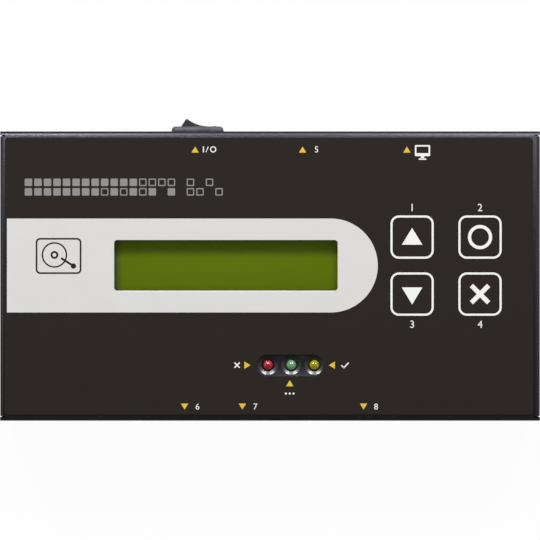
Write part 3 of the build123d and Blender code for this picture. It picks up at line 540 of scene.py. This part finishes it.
def inside(loop, places):
    """Which of the places lie within a loop."""
    hit = np.zeros(len(places), bool)
    px, py = places[:, 0], places[:, 1]
    for (ax, ay), (bx, by) in zip(loop, loop[1:] + loop[:1]):
        if ay != by:
            hit ^= ((ay > py) != (by > py)) & (px < (bx - ax) * (py - ay) / (by - ay) + ax)
    return hit


def printed_sheet(name, body, node, slot, outline, openings, ground, prints, dip=lambda x, y: 0.0):
    """Thin sheet whose top is divided along the outlines of its print, and dips at a cut edge."""
    loops = [outline, *openings, *(loop for _, marks in prints for loop in marks)]
    points, edges = [], []
    for loop in loops:
        first = len(points)
        points += [Vector(p) for p in loop]
        edges += [(first + i, first + (i + 1) % len(loop)) for i in range(len(loop))]
    spots, _, faces, _, _, _ = geometry.delaunay_2d_cdt(points, edges, [], 0, 1e-4)
    faces = np.array(faces)
    flat = np.array([(p.x, p.y) for p in spots])
    middles = flat[faces].mean(axis=1)
    keep = inside(outline, middles)
    for opening in openings:
        keep &= ~inside(opening, middles)
    tint = np.full(len(faces), INK_ORDER.index(ground))
    for colour, marks in prints:
        parity = np.zeros(len(faces), bool)
        for mark in marks:
            parity ^= inside(mark, middles)
        tint[parity] = INK_ORDER.index(colour)
    faces, tint = faces[keep], tint[keep]
    count = len(flat)
    top = [(x * MM, y * MM, (FILM_HIGH - dip(x, y)) * MM) for x, y in flat]
    under = [(x * MM, y * MM, FILM_LOW * MM) for x, y in flat]
    sides = {}
    for a, b, c in faces:
        for pair in ((a, b), (b, c), (c, a)):
            sides[pair] = sides.get((pair[1], pair[0]), 0) + 1
            if (pair[1], pair[0]) in sides:
                sides[(pair[1], pair[0])] = 2
    walls = [(a + count, b + count, b, a) for (a, b), uses in sides.items() if uses == 1]
    solid = [tuple(int(i) for i in f) for f in faces]
    solid += [tuple(int(i) + count for i in reversed(f)) for f in faces]
    solid += [tuple(int(i) for i in w) for w in walls]
    mesh = bpy.data.meshes.new(name)
    mesh.from_pydata(top + under, [], solid)
    for colour in INK_ORDER:
        mesh.materials.append(INKS[colour].material)
    edge = INK_ORDER.index("edge")
    shade = list(tint) + [INK_ORDER.index("dark")] * len(faces) + [edge] * len(walls)
    mesh.polygons.foreach_set("material_index", [int(i) for i in shade])
    clean = bmesh.new()
    clean.from_mesh(mesh)
    loose = [v for v in clean.verts if not v.link_faces]
    bmesh.ops.delete(clean, geom=loose, context="VERTS")
    clean.to_mesh(mesh)
    clean.free()
    return show(name, mesh, None, slot, body, node)


def pointer(x, y, turn, base=2.1, height=1.75):
    """Small triangle whose tip is turned from +Y by an angle."""
    a = radians(turn)
    corners = [(-base / 2, -height / 2), (base / 2, -height / 2), (0.0, height / 2)]
    return [(x + p * cos(a) - q * sin(a), y + p * sin(a) + q * cos(a)) for p, q in corners]


cut_end = WINDOW[2] / 2 - WINDOW[4]
cut_half = cut_end - CUT_WIDTH
cut_line = WINDOW_FRONT - CUT_WIDTH
# The pale edge ink on this sloped strip along the window's front cut edge is a painted highlight; the slope
# is real.
front_strip = [(WINDOW[0] - cut_end, WINDOW_FRONT), (WINDOW[0] - cut_half, cut_line),
               (WINDOW[0] + cut_half, cut_line), (WINDOW[0] + cut_end, WINDOW_FRONT),
               (WINDOW[0] + cut_half, WINDOW_FRONT), (WINDOW[0] - cut_half, WINDOW_FRONT)]


def front_cut(x, y):
    """How far the cut edge of the window dips, along its front side."""
    on_front = abs(y - WINDOW_FRONT) < 0.01 and abs(x - WINDOW[0]) < cut_half + 0.01
    return CUT_DEPTH if on_front else 0.0


half_panel = (PANEL_HIGH - PANEL_LOW) / 2
mid_panel = (PANEL_HIGH + PANEL_LOW) / 2
pale_panel = [(PANEL_LEFT, PANEL_HIGH), (PANEL_LEFT, PANEL_LOW)]
pale_panel += arc((PANEL_END, mid_panel), half_panel, -90, 90, 48)

# Pointers: one by each port and the switch, aimed at its edge, and three aimed at the lamps.
REAR_POINTERS, FRONT_POINTERS = (-21.6, 9.4, 39.5), (-24.65, -7.97, 27.0)
POINTER_REAR, FRONT_LINE = 36.5, -37.65
LAMP_POINTERS = ((-6.53, -25.7, -90), (17.85, -25.7, 90), (5.7, -30.92, 0))
yellow_marks = [pointer(x, POINTER_REAR, 0) for x in REAR_POINTERS]
yellow_marks += [pointer(x, FRONT_LINE, 180) for x in FRONT_POINTERS]
yellow_marks += [pointer(*place) for place in LAMP_POINTERS]

# White marks: line and circle for the switch, plain numbers beside ports and keys, a screen by the
# computer port, and signs beside the lamps for fault, busy and done.
REAR_LINE, PORT_NUMBER_TALL, KEY_NUMBER_TALL = 36.55, 1.75, 2.1
SWITCH_LINE, SWITCH_SLASH, SWITCH_CIRCLE = -19.2, (-18.5, -17.8), -16.4
LINE_HALF, LINE_WIDE, SLASH_HALF, SLASH_WIDE, CIRCLE_OUT_IN = 0.87, 0.32, 0.8, 0.22, (0.9, 0.6)
PORT_NUMBERS = {"5": (13.4, REAR_LINE), "6": (-20.9, FRONT_LINE),
                "7": (-4.2, FRONT_LINE), "8": (30.6, FRONT_LINE)}
KEY_NUMBERS = {"1": (41.0, 19.8), "2": (60.6, 19.8), "3": (41.0, -13.9), "4": (60.6, -13.9)}
SCREEN_X = 44.0
SCREEN_CASE, SCREEN_GLASS = (36.2, 4.4, 3.2, 0.3, 3), (36.42, 3.48, 1.9, 0.1, 3)
SCREEN_NECK, SCREEN_STAND = (34.25, 0.94, 0.75, 0.05, 2), (33.75, 2.2, 0.42, 0.1, 2)
FAULT_CROSS, STROKE = (-9.5, -25.7, 1.5), 0.36
DONE_TICK = (((20.6, -25.75), (21.3, -26.45)), ((21.17, -26.57), (22.7, -25.0)))
BUSY_DOTS, BUSY_Y, DOT_R = (4.6, 5.7, 6.8), -33.9, 0.3

white_marks = [
    bar((SWITCH_LINE, REAR_LINE - LINE_HALF), (SWITCH_LINE, REAR_LINE + LINE_HALF), LINE_WIDE),
    bar((SWITCH_SLASH[0], REAR_LINE - SLASH_HALF), (SWITCH_SLASH[1], REAR_LINE + SLASH_HALF), SLASH_WIDE)]
white_marks += [arc((SWITCH_CIRCLE, REAR_LINE), r, 0, 345, 23) for r in CIRCLE_OUT_IN]
for number, (x, y) in PORT_NUMBERS.items():
    white_marks += number_loops(number, x, y, PORT_NUMBER_TALL)
white_marks += [rounded(SCREEN_X, *part) for part in (SCREEN_CASE, SCREEN_GLASS, SCREEN_NECK, SCREEN_STAND)]
white_marks += [cross_loop(*FAULT_CROSS, STROKE), *(bar(*ends, STROKE) for ends in DONE_TICK)]
white_marks += [arc((x, BUSY_Y), DOT_R, 0, 345, 12) for x in BUSY_DOTS]
for number, (x, y) in KEY_NUMBERS.items():
    white_marks += number_loops(number, x, y, KEY_NUMBER_TALL)

# Wiped data: two rows of squares, full at the left, then hollow, then gone.
ROW_LEFT, ROW_HEIGHTS, ROW_PITCH, ROW_COUNT = -69.7, (27.05, 24.3), 2.75, 21
SQUARE, SQUARE_LINE, SQUARE_CORNER, HOLLOW_CORNER = 2.15, 0.32, 0.25, 0.05
grey_marks = []
for row, y in enumerate(ROW_HEIGHTS):
    for i in range(ROW_COUNT):
        wiped = (i * 7 + row * 11) % 13 < i - 5
        gone = (i * 5 + row * 8) % 11 < i - 12
        if gone:
            continue
        x = ROW_LEFT + ROW_PITCH * i
        grey_marks.append(rounded(x, y, SQUARE, SQUARE, SQUARE_CORNER, 3))
        if wiped:
            hollow = SQUARE - 2 * SQUARE_LINE
            grey_marks.append(rounded(x, y, hollow, hollow, HOLLOW_CORNER, 3))

# Drive picture on the pale panel: a plain case with its platter, hub and arm.
CASE_AT, CASE_OUT, CASE_IN = (-61.0, 5.8), (13.2, 10.4, 1.3), (12.2, 9.4, 0.85)
PLATTER_AT, PLATTER_RADII, HUB_RADII = (-62.2, 6.1), (3.7, 3.25), (1.15, 0.55)
ARM_AT, ARM_TIP, ARM_WIDE, ARM_PIVOT_R = (-56.7, 2.9), (-60.3, 5.2), 0.62, 0.78
drive_lines = [rounded(*CASE_AT, *CASE_OUT), rounded(*CASE_AT, *CASE_IN)]
drive_lines += [arc(PLATTER_AT, r, 0, 352.5, 47) for r in PLATTER_RADII]
drive_lines += [arc(PLATTER_AT, r, 0, 345, 23) for r in HUB_RADII]
drive_arm = bar(ARM_AT, ARM_TIP, ARM_WIDE)
arm_pivot = arc(ARM_AT, ARM_PIVOT_R, 0, 345, 23)

key_cut = KEY_SIZE + 2 * KEY_GAP
key_cuts = [rounded(x, y, key_cut, key_cut, KEY_CORNER + KEY_GAP) for x, y in KEYS.values()]
film_outline = rounded(
    (FILM_LEFT + FILM_RIGHT) / 2, 0.0, FILM_RIGHT - FILM_LEFT, 2 * FILM_HALF, FILM_CORNER)
printed_sheet(
    "film_print", "enclosure", "graphic_overlay", "film", film_outline,
    [rounded(*WINDOW), rounded(*LAMP_SLOT, 16), *key_cuts], "dark",
    [("pale", [pale_panel]), ("edge", [front_strip]), ("yellow", yellow_marks), ("white", white_marks),
     ("grey", grey_marks), ("dark", drive_lines), ("dark", [drive_arm]), ("dark", [arm_pivot])],
    front_cut)

# Key signs, drawn about the middle of each key: two arrows, a circle and a cross in a white ring.
ARROW_HALF, UP_BASE, UP_TIP, DOWN_BASE, DOWN_TIP = 2.97, -2.2, 2.66, 1.93, -3.02
CIRCLE_RADII, CROSS_SPAN, CROSS_STROKE = (3.5, 2.56), 4.95, 1.32
KEY_SIGNS = {
    "key_up": [[(-ARROW_HALF, UP_BASE), (ARROW_HALF, UP_BASE), (0.0, UP_TIP)]],
    "key_down": [[(-ARROW_HALF, DOWN_BASE), (0.0, DOWN_TIP), (ARROW_HALF, DOWN_BASE)]],
    "key_enter": [arc((0.0, 0.0), radius, 0, 354, 59) for radius in CIRCLE_RADII],
    "key_escape": [cross_loop(0.0, 0.0, CROSS_SPAN, CROSS_STROKE)],
}
for name, (x, y) in KEYS.items():
    outline = rounded(x, y, KEY_SIZE, KEY_SIZE, KEY_CORNER)
    ring = [rounded(x, y, KEY_SIZE - 2 * rim, KEY_SIZE - 2 * rim, KEY_CORNER - rim)
            for rim in (RING_OUT, RING_IN)]
    sign = [[(x + a, y + b) for a, b in loop] for loop in KEY_SIGNS[name]]
    printed_sheet(name + "_print", name + "_body", name, "key_film", outline, [], "dark",
                  [("white", ring), ("white", sign)])


# Display: a yellow-green character module under the film's window. A pressed and blackened
# metal frame clamps the glass on its light guide and its board. The glass's colour carries a
# painted shadow at its rear, where the window's edge shades it, painted shade at its left end
# and painted light at its right end.
GLASS_COLOUR = (0.140, 0.200, 0.0050)
GLASS_PATCH = (0.158, 0.210, 0.0110)
GLASS_LINT = (0.33, 0.36, 0.16)
GLASS_SHADE = (0.062, 0.084, 0.0060)
GLASS_LEFT_SHADE = (0.126, 0.162, 0.0255)
GLASS_RIGHT_LIGHT = (0.190, 0.270, 0.0080)
REAR_SHADOW_BAND = (4.8, 7.8, 8.0, 9.0)
LEFT_SHADE_BAND = (-43.5, -42.5)
RIGHT_LIGHT_BAND = (17.8, 19.4)

glass = Finish("display_glass", GLASS_COLOUR, 0.22, Specular_IOR_Level=0.2, Coat_Roughness=0.08,
               Subsurface_Weight=0.7, Subsurface_Radius=(1.0, 1.0, 1.0), Subsurface_Scale=1.5 * MM)
glass_x, glass_y = (glass.add("ShaderNodeSeparateXYZ", None, {0: glass.here}, i) for i in range(2))
low_in, low_out, high_in, high_out = (y * MM for y in REAR_SHADOW_BAND)
# Painted shadow along the rear of the glass, painted shade at its left end, painted light at its right end.
rear_shade = glass.ease(glass_y, low_in, low_out) * (1 - glass.ease(glass_y, high_in, high_out))
left_painted_shade = 1 - glass.ease(glass_x, *(x * MM for x in LEFT_SHADE_BAND))
right_painted_light = glass.ease(glass_x, *(x * MM for x in RIGHT_LIGHT_BAND))
mottle = glass.grain(14.0, 2.0)
lint = glass.specks(2.3, 0.13, 0.45)
shade = glass.mix(glass.ease(mottle, 0.35, 0.7) * 0.15, GLASS_COLOUR, GLASS_PATCH)
shade = glass.mix(left_painted_shade, shade, GLASS_LEFT_SHADE)
shade = glass.mix(right_painted_light, shade, GLASS_RIGHT_LIGHT)
shade = glass.mix(rear_shade, shade, GLASS_SHADE)
glass.set("Base Color", glass.mix(lint * 0.45, shade, GLASS_LINT))
glass.set("Roughness", 0.18 + lint * 0.5)
glass.set("Coat Weight", 0.12 - lint * 0.1)
eased_copy("display_glass", 0.1, glass, "display_glass")

blackened = Finish("display_metal", (0.028, 0.028, 0.03), 0.4, Metallic=0.55)
rub = blackened.grain(0.8, 4.0, (1.0, 0.2, 1.0))
rubbed = blackened.ease(rub, 0.55, 0.8)
blackened.set("Base Color", blackened.mix(rubbed, (0.022, 0.022, 0.024), (0.09, 0.09, 0.095)))
blackened.set("Roughness", 0.32 + rub * 0.2)
eased_copy("display_frame", 0.12, blackened, "display_metal")


def refinish(finish, *names):
    """Give CAD nodes, whose own shape is right, their finish."""
    for name in names:
        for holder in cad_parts[name].material_slots:
            holder.material = finish.material


guide = Finish("light_guide", (0.55, 0.62, 0.30), 0.35)
guide.set("Base Color", guide.mix(guide.grain(3.0, 2.0), (0.50, 0.58, 0.26), (0.62, 0.68, 0.36)))
refinish(guide, "display_backlight")


# Status lamps: red, green and yellow 3 mm lamps of tinted epoxy with a round dome, each in a
# bright turned cup that is pressed into the cover and dished around the dome.
LAMPS = {"led_red": -0.58, "led_green": 6.15, "led_yellow": 12.8}
LAMP_Y = -25.67
LAMP_COLOURS = {"led_red": (0.46, 0.014, 0.031), "led_green": (0.21, 0.40, 0.23),
                "led_yellow": (0.41, 0.375, 0.005)}
LAMP_LOW, LAMP_TOP, LAMP_R = 23.0, 28.8, 1.5
CUP_BORE, CUP_OUTER, CUP_LOW = 1.55, 2.95, 24.15
CUP_LIP, CUP_LIP_DROP, DISH_IN = 0.04, 0.05, 0.08
THROAT_R, THROAT_DEPTH, BORE_DEPTH, DISH_STEPS = 1.75, 0.46, 0.8, 7
LAMP_FOOT_EASE = 0.08


def turned(profile, spot, sides=64):
    """Mesh of a closed outline of radius and height, turned about an upright axis."""
    shape = bmesh.new()
    rings = []
    for radius, z in profile:
        if radius < 1e-6:
            rings.append([shape.verts.new((spot[0] * MM, spot[1] * MM, z * MM))])
            continue
        ring = []
        for i in range(sides):
            x = spot[0] + radius * cos(2 * pi * i / sides)
            y = spot[1] + radius * sin(2 * pi * i / sides)
            ring.append(shape.verts.new((x * MM, y * MM, z * MM)))
        rings.append(ring)
    for k, ring in enumerate(rings):
        after = rings[(k + 1) % len(rings)]
        for i in range(sides):
            j = (i + 1) % sides
            corners = [ring[i % len(ring)], ring[j % len(ring)], after[j % len(after)], after[i % len(after)]]
            corners = [v for n, v in enumerate(corners) if v not in corners[:n]]
            if len(corners) > 2 and (len(ring) > 1 or len(after) > 1):
                shape.faces.new(corners)
    bmesh.ops.recalc_face_normals(shape, faces=shape.faces)
    mesh = bpy.data.meshes.new("turned")
    shape.to_mesh(mesh)
    shape.free()
    return mesh


cup_profile = [(CUP_BORE, CUP_LOW), (CUP_OUTER, CUP_LOW)]
cup_profile += [(CUP_OUTER, COVER_TOP - CUP_LIP_DROP), (CUP_OUTER - CUP_LIP, COVER_TOP)]
for i in range(DISH_STEPS + 1):
    share = i / DISH_STEPS
    radius = CUP_OUTER - DISH_IN + (THROAT_R - CUP_OUTER + DISH_IN) * share
    cup_profile.append((radius, COVER_TOP - THROAT_DEPTH * share ** 0.9))
cup_profile.append((CUP_BORE, COVER_TOP - BORE_DEPTH))
lamp_profile = [(0.0, LAMP_LOW), (LAMP_R - LAMP_FOOT_EASE, LAMP_LOW), (LAMP_R, LAMP_LOW + LAMP_FOOT_EASE)]
lamp_profile += arc((0.0, LAMP_TOP - LAMP_R), LAMP_R, 0, 90, 14)[:-1] + [(0.0, LAMP_TOP)]
for name, x in LAMPS.items():
    colour = LAMP_COLOURS[name]
    epoxy = Finish(name + "_epoxy", colour, 0.12, Specular_IOR_Level=1.0, Coat_Weight=1.0,
                   Coat_Roughness=0.1, Coat_IOR=1.6, Subsurface_Weight=1.0,
                   Subsurface_Radius=(1.0, 1.0, 1.0), Subsurface_Scale=1.2 * MM)
    px, py = (epoxy.add("ShaderNodeSeparateXYZ", None, {0: epoxy.here}, i) for i in range(2))
    dx, dy = px - x * MM, py - LAMP_Y * MM
    from_axis = epoxy.maths("SQRT", dx * dx + dy * dy)
    # Darker towards the rim of the dome: painted shade.
    rim = epoxy.ease(from_axis, 1.1 * MM, 1.5 * MM)
    tone = epoxy.mix(rim, colour, tuple(c * 0.75 for c in colour))
    cloud = epoxy.grain(0.7, 2.0)
    epoxy.set("Base Color", epoxy.mix(cloud * 0.2, tone, tuple(c * 0.8 for c in colour)))
    epoxy.set("Roughness", 0.10 + cloud * 0.03)
    lens_slot = name.removeprefix("led_") + "_lens"
    show(name + "_lens", turned(lamp_profile, (x, LAMP_Y)), epoxy, lens_slot, "enclosure", name)

chrome = Finish("cup_chrome", (0.22, 0.22, 0.23), 0.3, Metallic=1.0)
turning = chrome.grain(0.9, 3.0, (1.0, 1.0, 9.0))
chrome.set("Roughness", 0.22 + turning * 0.16)
chrome.set("Base Color", chrome.mix(turning * 0.6, (0.23, 0.23, 0.24), (0.115, 0.115, 0.122)))

cups = Pattern("lamp_cups", {})
one_cup = bpy.data.objects.new("one_cup", turned(cup_profile, (0.0, 0.0)))
cup_shape = cups.add("GeometryNodeObjectInfo", None, {"Object": one_cup}, "Geometry")
cups.result(cups.on_points(cup_shape), chrome)
cup_mesh = cups.mesh("lamp_cup_set", [(x, LAMP_Y, 0.0) for x in LAMPS.values()], [(0, 0, 1)] * len(LAMPS))
show("lamp_cup_set", cup_mesh, None, "cup_chrome", "enclosure", "led_cups")
bpy.data.objects.remove(one_cup)


# Drive ports in the front wall: a 40-way boxed header with gold pins and a serial drive plug with
# its L-shaped tongue, both in black nylon, and a square four-pin power outlet in white nylon.
MAIN_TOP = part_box("ide_shroud")[0].z / MM
FRONT_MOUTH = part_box("ide_shroud")[0].y / MM
HEADER_X, HEADER_HEIGHT, HEADER_DEPTH = 27.4, 8.9, 8.8
HEADER_COLUMNS, HEADER_PITCH, PIN_LEFT_OUT = 20, 2.54, (10, 0)
HEADER_PIN, PIN_INSET, PIN_BEND = 0.64, 1.0, 1.2
LEG_SEAT, LEG_SET_IN = 0.1, 0.02
OUTLET_X, OUTLET_MIDDLE, OUTLET_DEPTH, OUTLET_FLOOR = -8.0, 4.9, 12.8, 9.0
OUTLET_PIN, OUTLET_PIN_LONG, OUTLET_STEP, OUTLET_BEND = 1.1, 7.6, 2.1, 1.4
SERIAL_X, SERIAL_MIDDLE, SERIAL_FLOOR = -24.2, 3.4, 7.5
TONGUE_HALF, CONTACT_PITCH, CONTACT_BAR = 0.6, 1.27, (0.6, 5.9, 0.15)


def moulded(name, colour, roughness=0.42, size=0.35):
    """Moulded plastic with a fine spark-eroded grain and faint flow."""
    plastic = Finish(name, colour, roughness, Specular_IOR_Level=0.5)
    pore = plastic.grain(size, 2.0)
    flow = plastic.grain(4.0, 3.0)
    dull, lit = tuple(c * 0.8 for c in colour), tuple(min(c * 1.25, 1.0) for c in colour)
    plastic.set("Base Color", plastic.mix(plastic.ease(flow, 0.35, 0.7), dull, lit))
    plastic.set("Roughness", roughness - 0.08 + pore * 0.18)
    plastic.bump(pore, 0.012)
    return plastic


def bright(name, colour, roughness=0.25, size=0.6):
    """Plated or bare metal with fine drawing marks."""
    metal = Finish(name, colour, roughness, Metallic=1.0)
    marks = metal.grain(size, 4.0, (1.0, 0.15, 1.0))
    metal.set("Base Color", metal.mix(marks * 0.6, colour, tuple(c * 0.62 for c in colour)))
    metal.set("Roughness", roughness - 0.06 + marks * 0.16)
    return metal


black_nylon = moulded("black_nylon", (0.017, 0.017, 0.018))
gold = bright("contact_gold", (0.86, 0.62, 0.27), 0.2)
tin = bright("contact_tin", (0.70, 0.69, 0.67), 0.28)
for name in ("ide_shroud", "sata_body"):
    eased_copy(name, 0.15, black_nylon, "black_plastic", sharp=40.0)
white_nylon = moulded("white_nylon", (0.56, 0.54, 0.48), 0.4, 0.5)
eased_copy("outlet_body", 0.15, white_nylon, "white_nylon", sharp=40.0)


def bent_pin(x, z, tip, back, size):
    """Middle and size of a pin's level bar, and of the leg that goes down into the board."""
    leg = z - size / 2 + LEG_SEAT - MAIN_TOP
    return [((x, (tip + back) / 2, z), (size, back - tip, size)),
            ((x, back - size / 2 - LEG_SET_IN, MAIN_TOP + leg / 2), (size, size, leg))]


def bar_set(name, bars, finish, slot, *nodes, ease=0.1):
    """Square pins or flat strips, each a unit block stretched to its point's own size."""
    spots, sizes = zip(*bars)
    tree = Pattern(name, {"Unit": 1.0})
    unit = tree.inlet("Unit")
    cube = tree.add("GeometryNodeMeshCube", None, {"Size": tree.vector(unit, unit, unit)})
    stretch = tree.add("GeometryNodeInputNamedAttribute", {"data_type": "FLOAT_VECTOR"}, {"Name": "stretch"})
    tree.result(tree.on_points(cube, stretch), finish)
    mesh = tree.mesh(name, spots, [(0, 0, 1)] * len(spots), stretch=sizes)
    return soften(show(name, mesh, None, slot, "enclosure", *nodes), ease, 2 if len(bars) < 20 else 1)


first_column = HEADER_X - (HEADER_COLUMNS - 1) * HEADER_PITCH / 2
header_bars = []
for column in range(HEADER_COLUMNS):
    for row in (0, 1):
        if (column, row) != PIN_LEFT_OUT:
            z = MAIN_TOP + HEADER_HEIGHT / 2 + (row - 0.5) * HEADER_PITCH
            back = FRONT_MOUTH + HEADER_DEPTH + PIN_BEND + row * HEADER_PITCH
            header_bars += bent_pin(
                first_column + column * HEADER_PITCH, z, FRONT_MOUTH + PIN_INSET, back, HEADER_PIN)
bar_set("header_pins", header_bars, gold, "contact_metal", "ide_pins", ease=0.14)

outlet_bars = []
for i in (-1, 1):
    for j in (-1, 1):
        z = MAIN_TOP + OUTLET_MIDDLE + j * OUTLET_STEP
        tip = FRONT_MOUTH + OUTLET_FLOOR - OUTLET_PIN_LONG
        back = FRONT_MOUTH + OUTLET_DEPTH + OUTLET_BEND + (j + 1) * OUTLET_STEP
        outlet_bars += bent_pin(OUTLET_X + i * OUTLET_STEP, z, tip, back, OUTLET_PIN)
bar_set("outlet_pin_set", outlet_bars, tin, "plated_steel", "outlet_pins", ease=0.25)

contact_y = FRONT_MOUTH + SERIAL_FLOOR - CONTACT_BAR[1] / 2
contact_z = MAIN_TOP + SERIAL_MIDDLE - TONGUE_HALF - CONTACT_BAR[2] / 2
serial_bars = [((SERIAL_X + i * CONTACT_PITCH, contact_y, contact_z), CONTACT_BAR) for i in range(-3, 4)]
bar_set("serial_contacts", serial_bars, gold, "contact_metal", "sata_contacts", ease=0.05)


# Power inlet and computer port in the rear wall: a black moulded barrel jack with a plated
# centre pin, and a square port of bent and plated steel around a moulded tongue.
eased_copy("jack_body", 0.2, black_nylon, "black_plastic", sharp=40.0)
plated = bright("plated_steel", (0.72, 0.71, 0.69), 0.24)
JACK_PIN_R, JACK_PIN_LONG = 1.0, 8.7
jack_pin_profile = [(0.0, 0.0), (0.62, 0.0), (0.88, 0.12), (JACK_PIN_R, 0.4),
                    (JACK_PIN_R, JACK_PIN_LONG), (0.0, JACK_PIN_LONG)]
pin_low, pin_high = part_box("jack_pin")
pin_mesh = turned(jack_pin_profile, (0.0, 0.0), 32)
for vertex in pin_mesh.vertices:
    x, y, z = vertex.co
    vertex.co = (x + (pin_low.x + pin_high.x) / 2, pin_high.y - z, y + (pin_low.z + pin_high.z) / 2)
show("jack_centre_pin", pin_mesh, plated, "plated_steel", "enclosure", "jack_pin")
eased_copy("usb_shell", 0.12, plated, "plated_steel", sharp=30.0)
tongue_nylon = moulded("tongue_nylon", (0.72, 0.71, 0.68), 0.4, 0.5)
eased_copy("usb_insert", 0.15, tongue_nylon, "white_nylon")
port_low, port_high = (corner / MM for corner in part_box("usb_shell"))
port_x, port_z = (port_low.x + port_high.x) / 2, (port_low.z + port_high.z) / 2
STRIP, STRIP_APART, STRIP_IN, STRIP_HIGH = (1.0, 7.0, 0.12), 1.25, 4.8, 1.63
strips = [((port_x + i * STRIP_APART, port_high.y - STRIP_IN, port_z + j * STRIP_HIGH), STRIP)
          for i in (-1, 1) for j in (-1, 1)]
bar_set("port_contacts", strips, gold, "contact_metal", ease=0.03)


# Rocker switch: a snap-in body with a bevelled bezel proud of the rear wall, and a paddle with
# a hollow face that turns on two trunnions. Both are moulded in dark grey.
bezel_plastic = moulded("rocker_frame", (0.112, 0.108, 0.128), 0.34, 0.3)
paddle_plastic = moulded("rocker_face", (0.047, 0.044, 0.054), 0.30, 0.3)
eased_copy("rocker_housing", 0.22, bezel_plastic, "rocker_frame", sharp=30.0, rounds=3)
eased_copy("rocker_paddle", 0.22, paddle_plastic, "rocker_face", "rocker", sharp=30.0, rounds=3)
refinish(tin, "rocker_terminals")
wire_skin = moulded("wire_skin", (0.35, 0.02, 0.018), 0.45, 0.3)
refinish(wire_skin, "switch_wires")


# Boards: green solder mask over glass fibre, on tinned sleeves with plated screws, with black
# chips, bright cans and the flat ribbon between panel and main board.
mask = Finish("solder_mask", (0.010, 0.075, 0.032), 0.33, Specular_IOR_Level=0.5)
tracks = mask.add("ShaderNodeTexBrick", {"offset": 0.37, "squash": 1.0}, {
    "Vector": mask.here, "Scale": 260.0, "Mortar Size": 0.03, "Color1": (1.0, 1.0, 1.0, 1.0),
    "Color2": (0.55, 0.55, 0.55, 1.0), "Mortar": (0.0, 0.0, 0.0, 1.0)}, "Color")
weave = mask.grain(0.6)
mask.set("Base Color", mask.mix(tracks * 0.45 + weave * 0.2, (0.007, 0.055, 0.022), (0.018, 0.115, 0.05)))
mask.bump(tracks, 0.03)
refinish(mask, "main_board", "panel_board", "display_board")
epoxy_black = moulded("chip_body", (0.02, 0.02, 0.021), 0.5, 0.25)
refinish(epoxy_black, "processor_chip", "drive_chip", "memory_chip", "power_switches", "regulator",
         "resistor_packs", "power_inductor")
refinish(black_nylon, "link_socket", "link_strip", "cable_headers", "key_switch_bodies")
refinish(gold, "link_pins")
refinish(plated, "panel_screws", "display_screws", "board_screws")
sleeve_metal = bright("sleeve_metal", (0.62, 0.60, 0.56), 0.3)
refinish(sleeve_metal, "panel_spacers", "display_spacers", "board_standoffs")
refinish(bright("can_metal", (0.66, 0.67, 0.69), 0.3), "crystal", "capacitors")
refinish(moulded("fuse_body", (0.45, 0.30, 0.03), 0.5), "fuse")
refinish(moulded("ribbon", (0.30, 0.30, 0.31), 0.5, 0.8), "panel_cable")
refinish(moulded("stem_plastic", (0.03, 0.03, 0.032), 0.35), *(name + "_plunger" for name in KEYS))
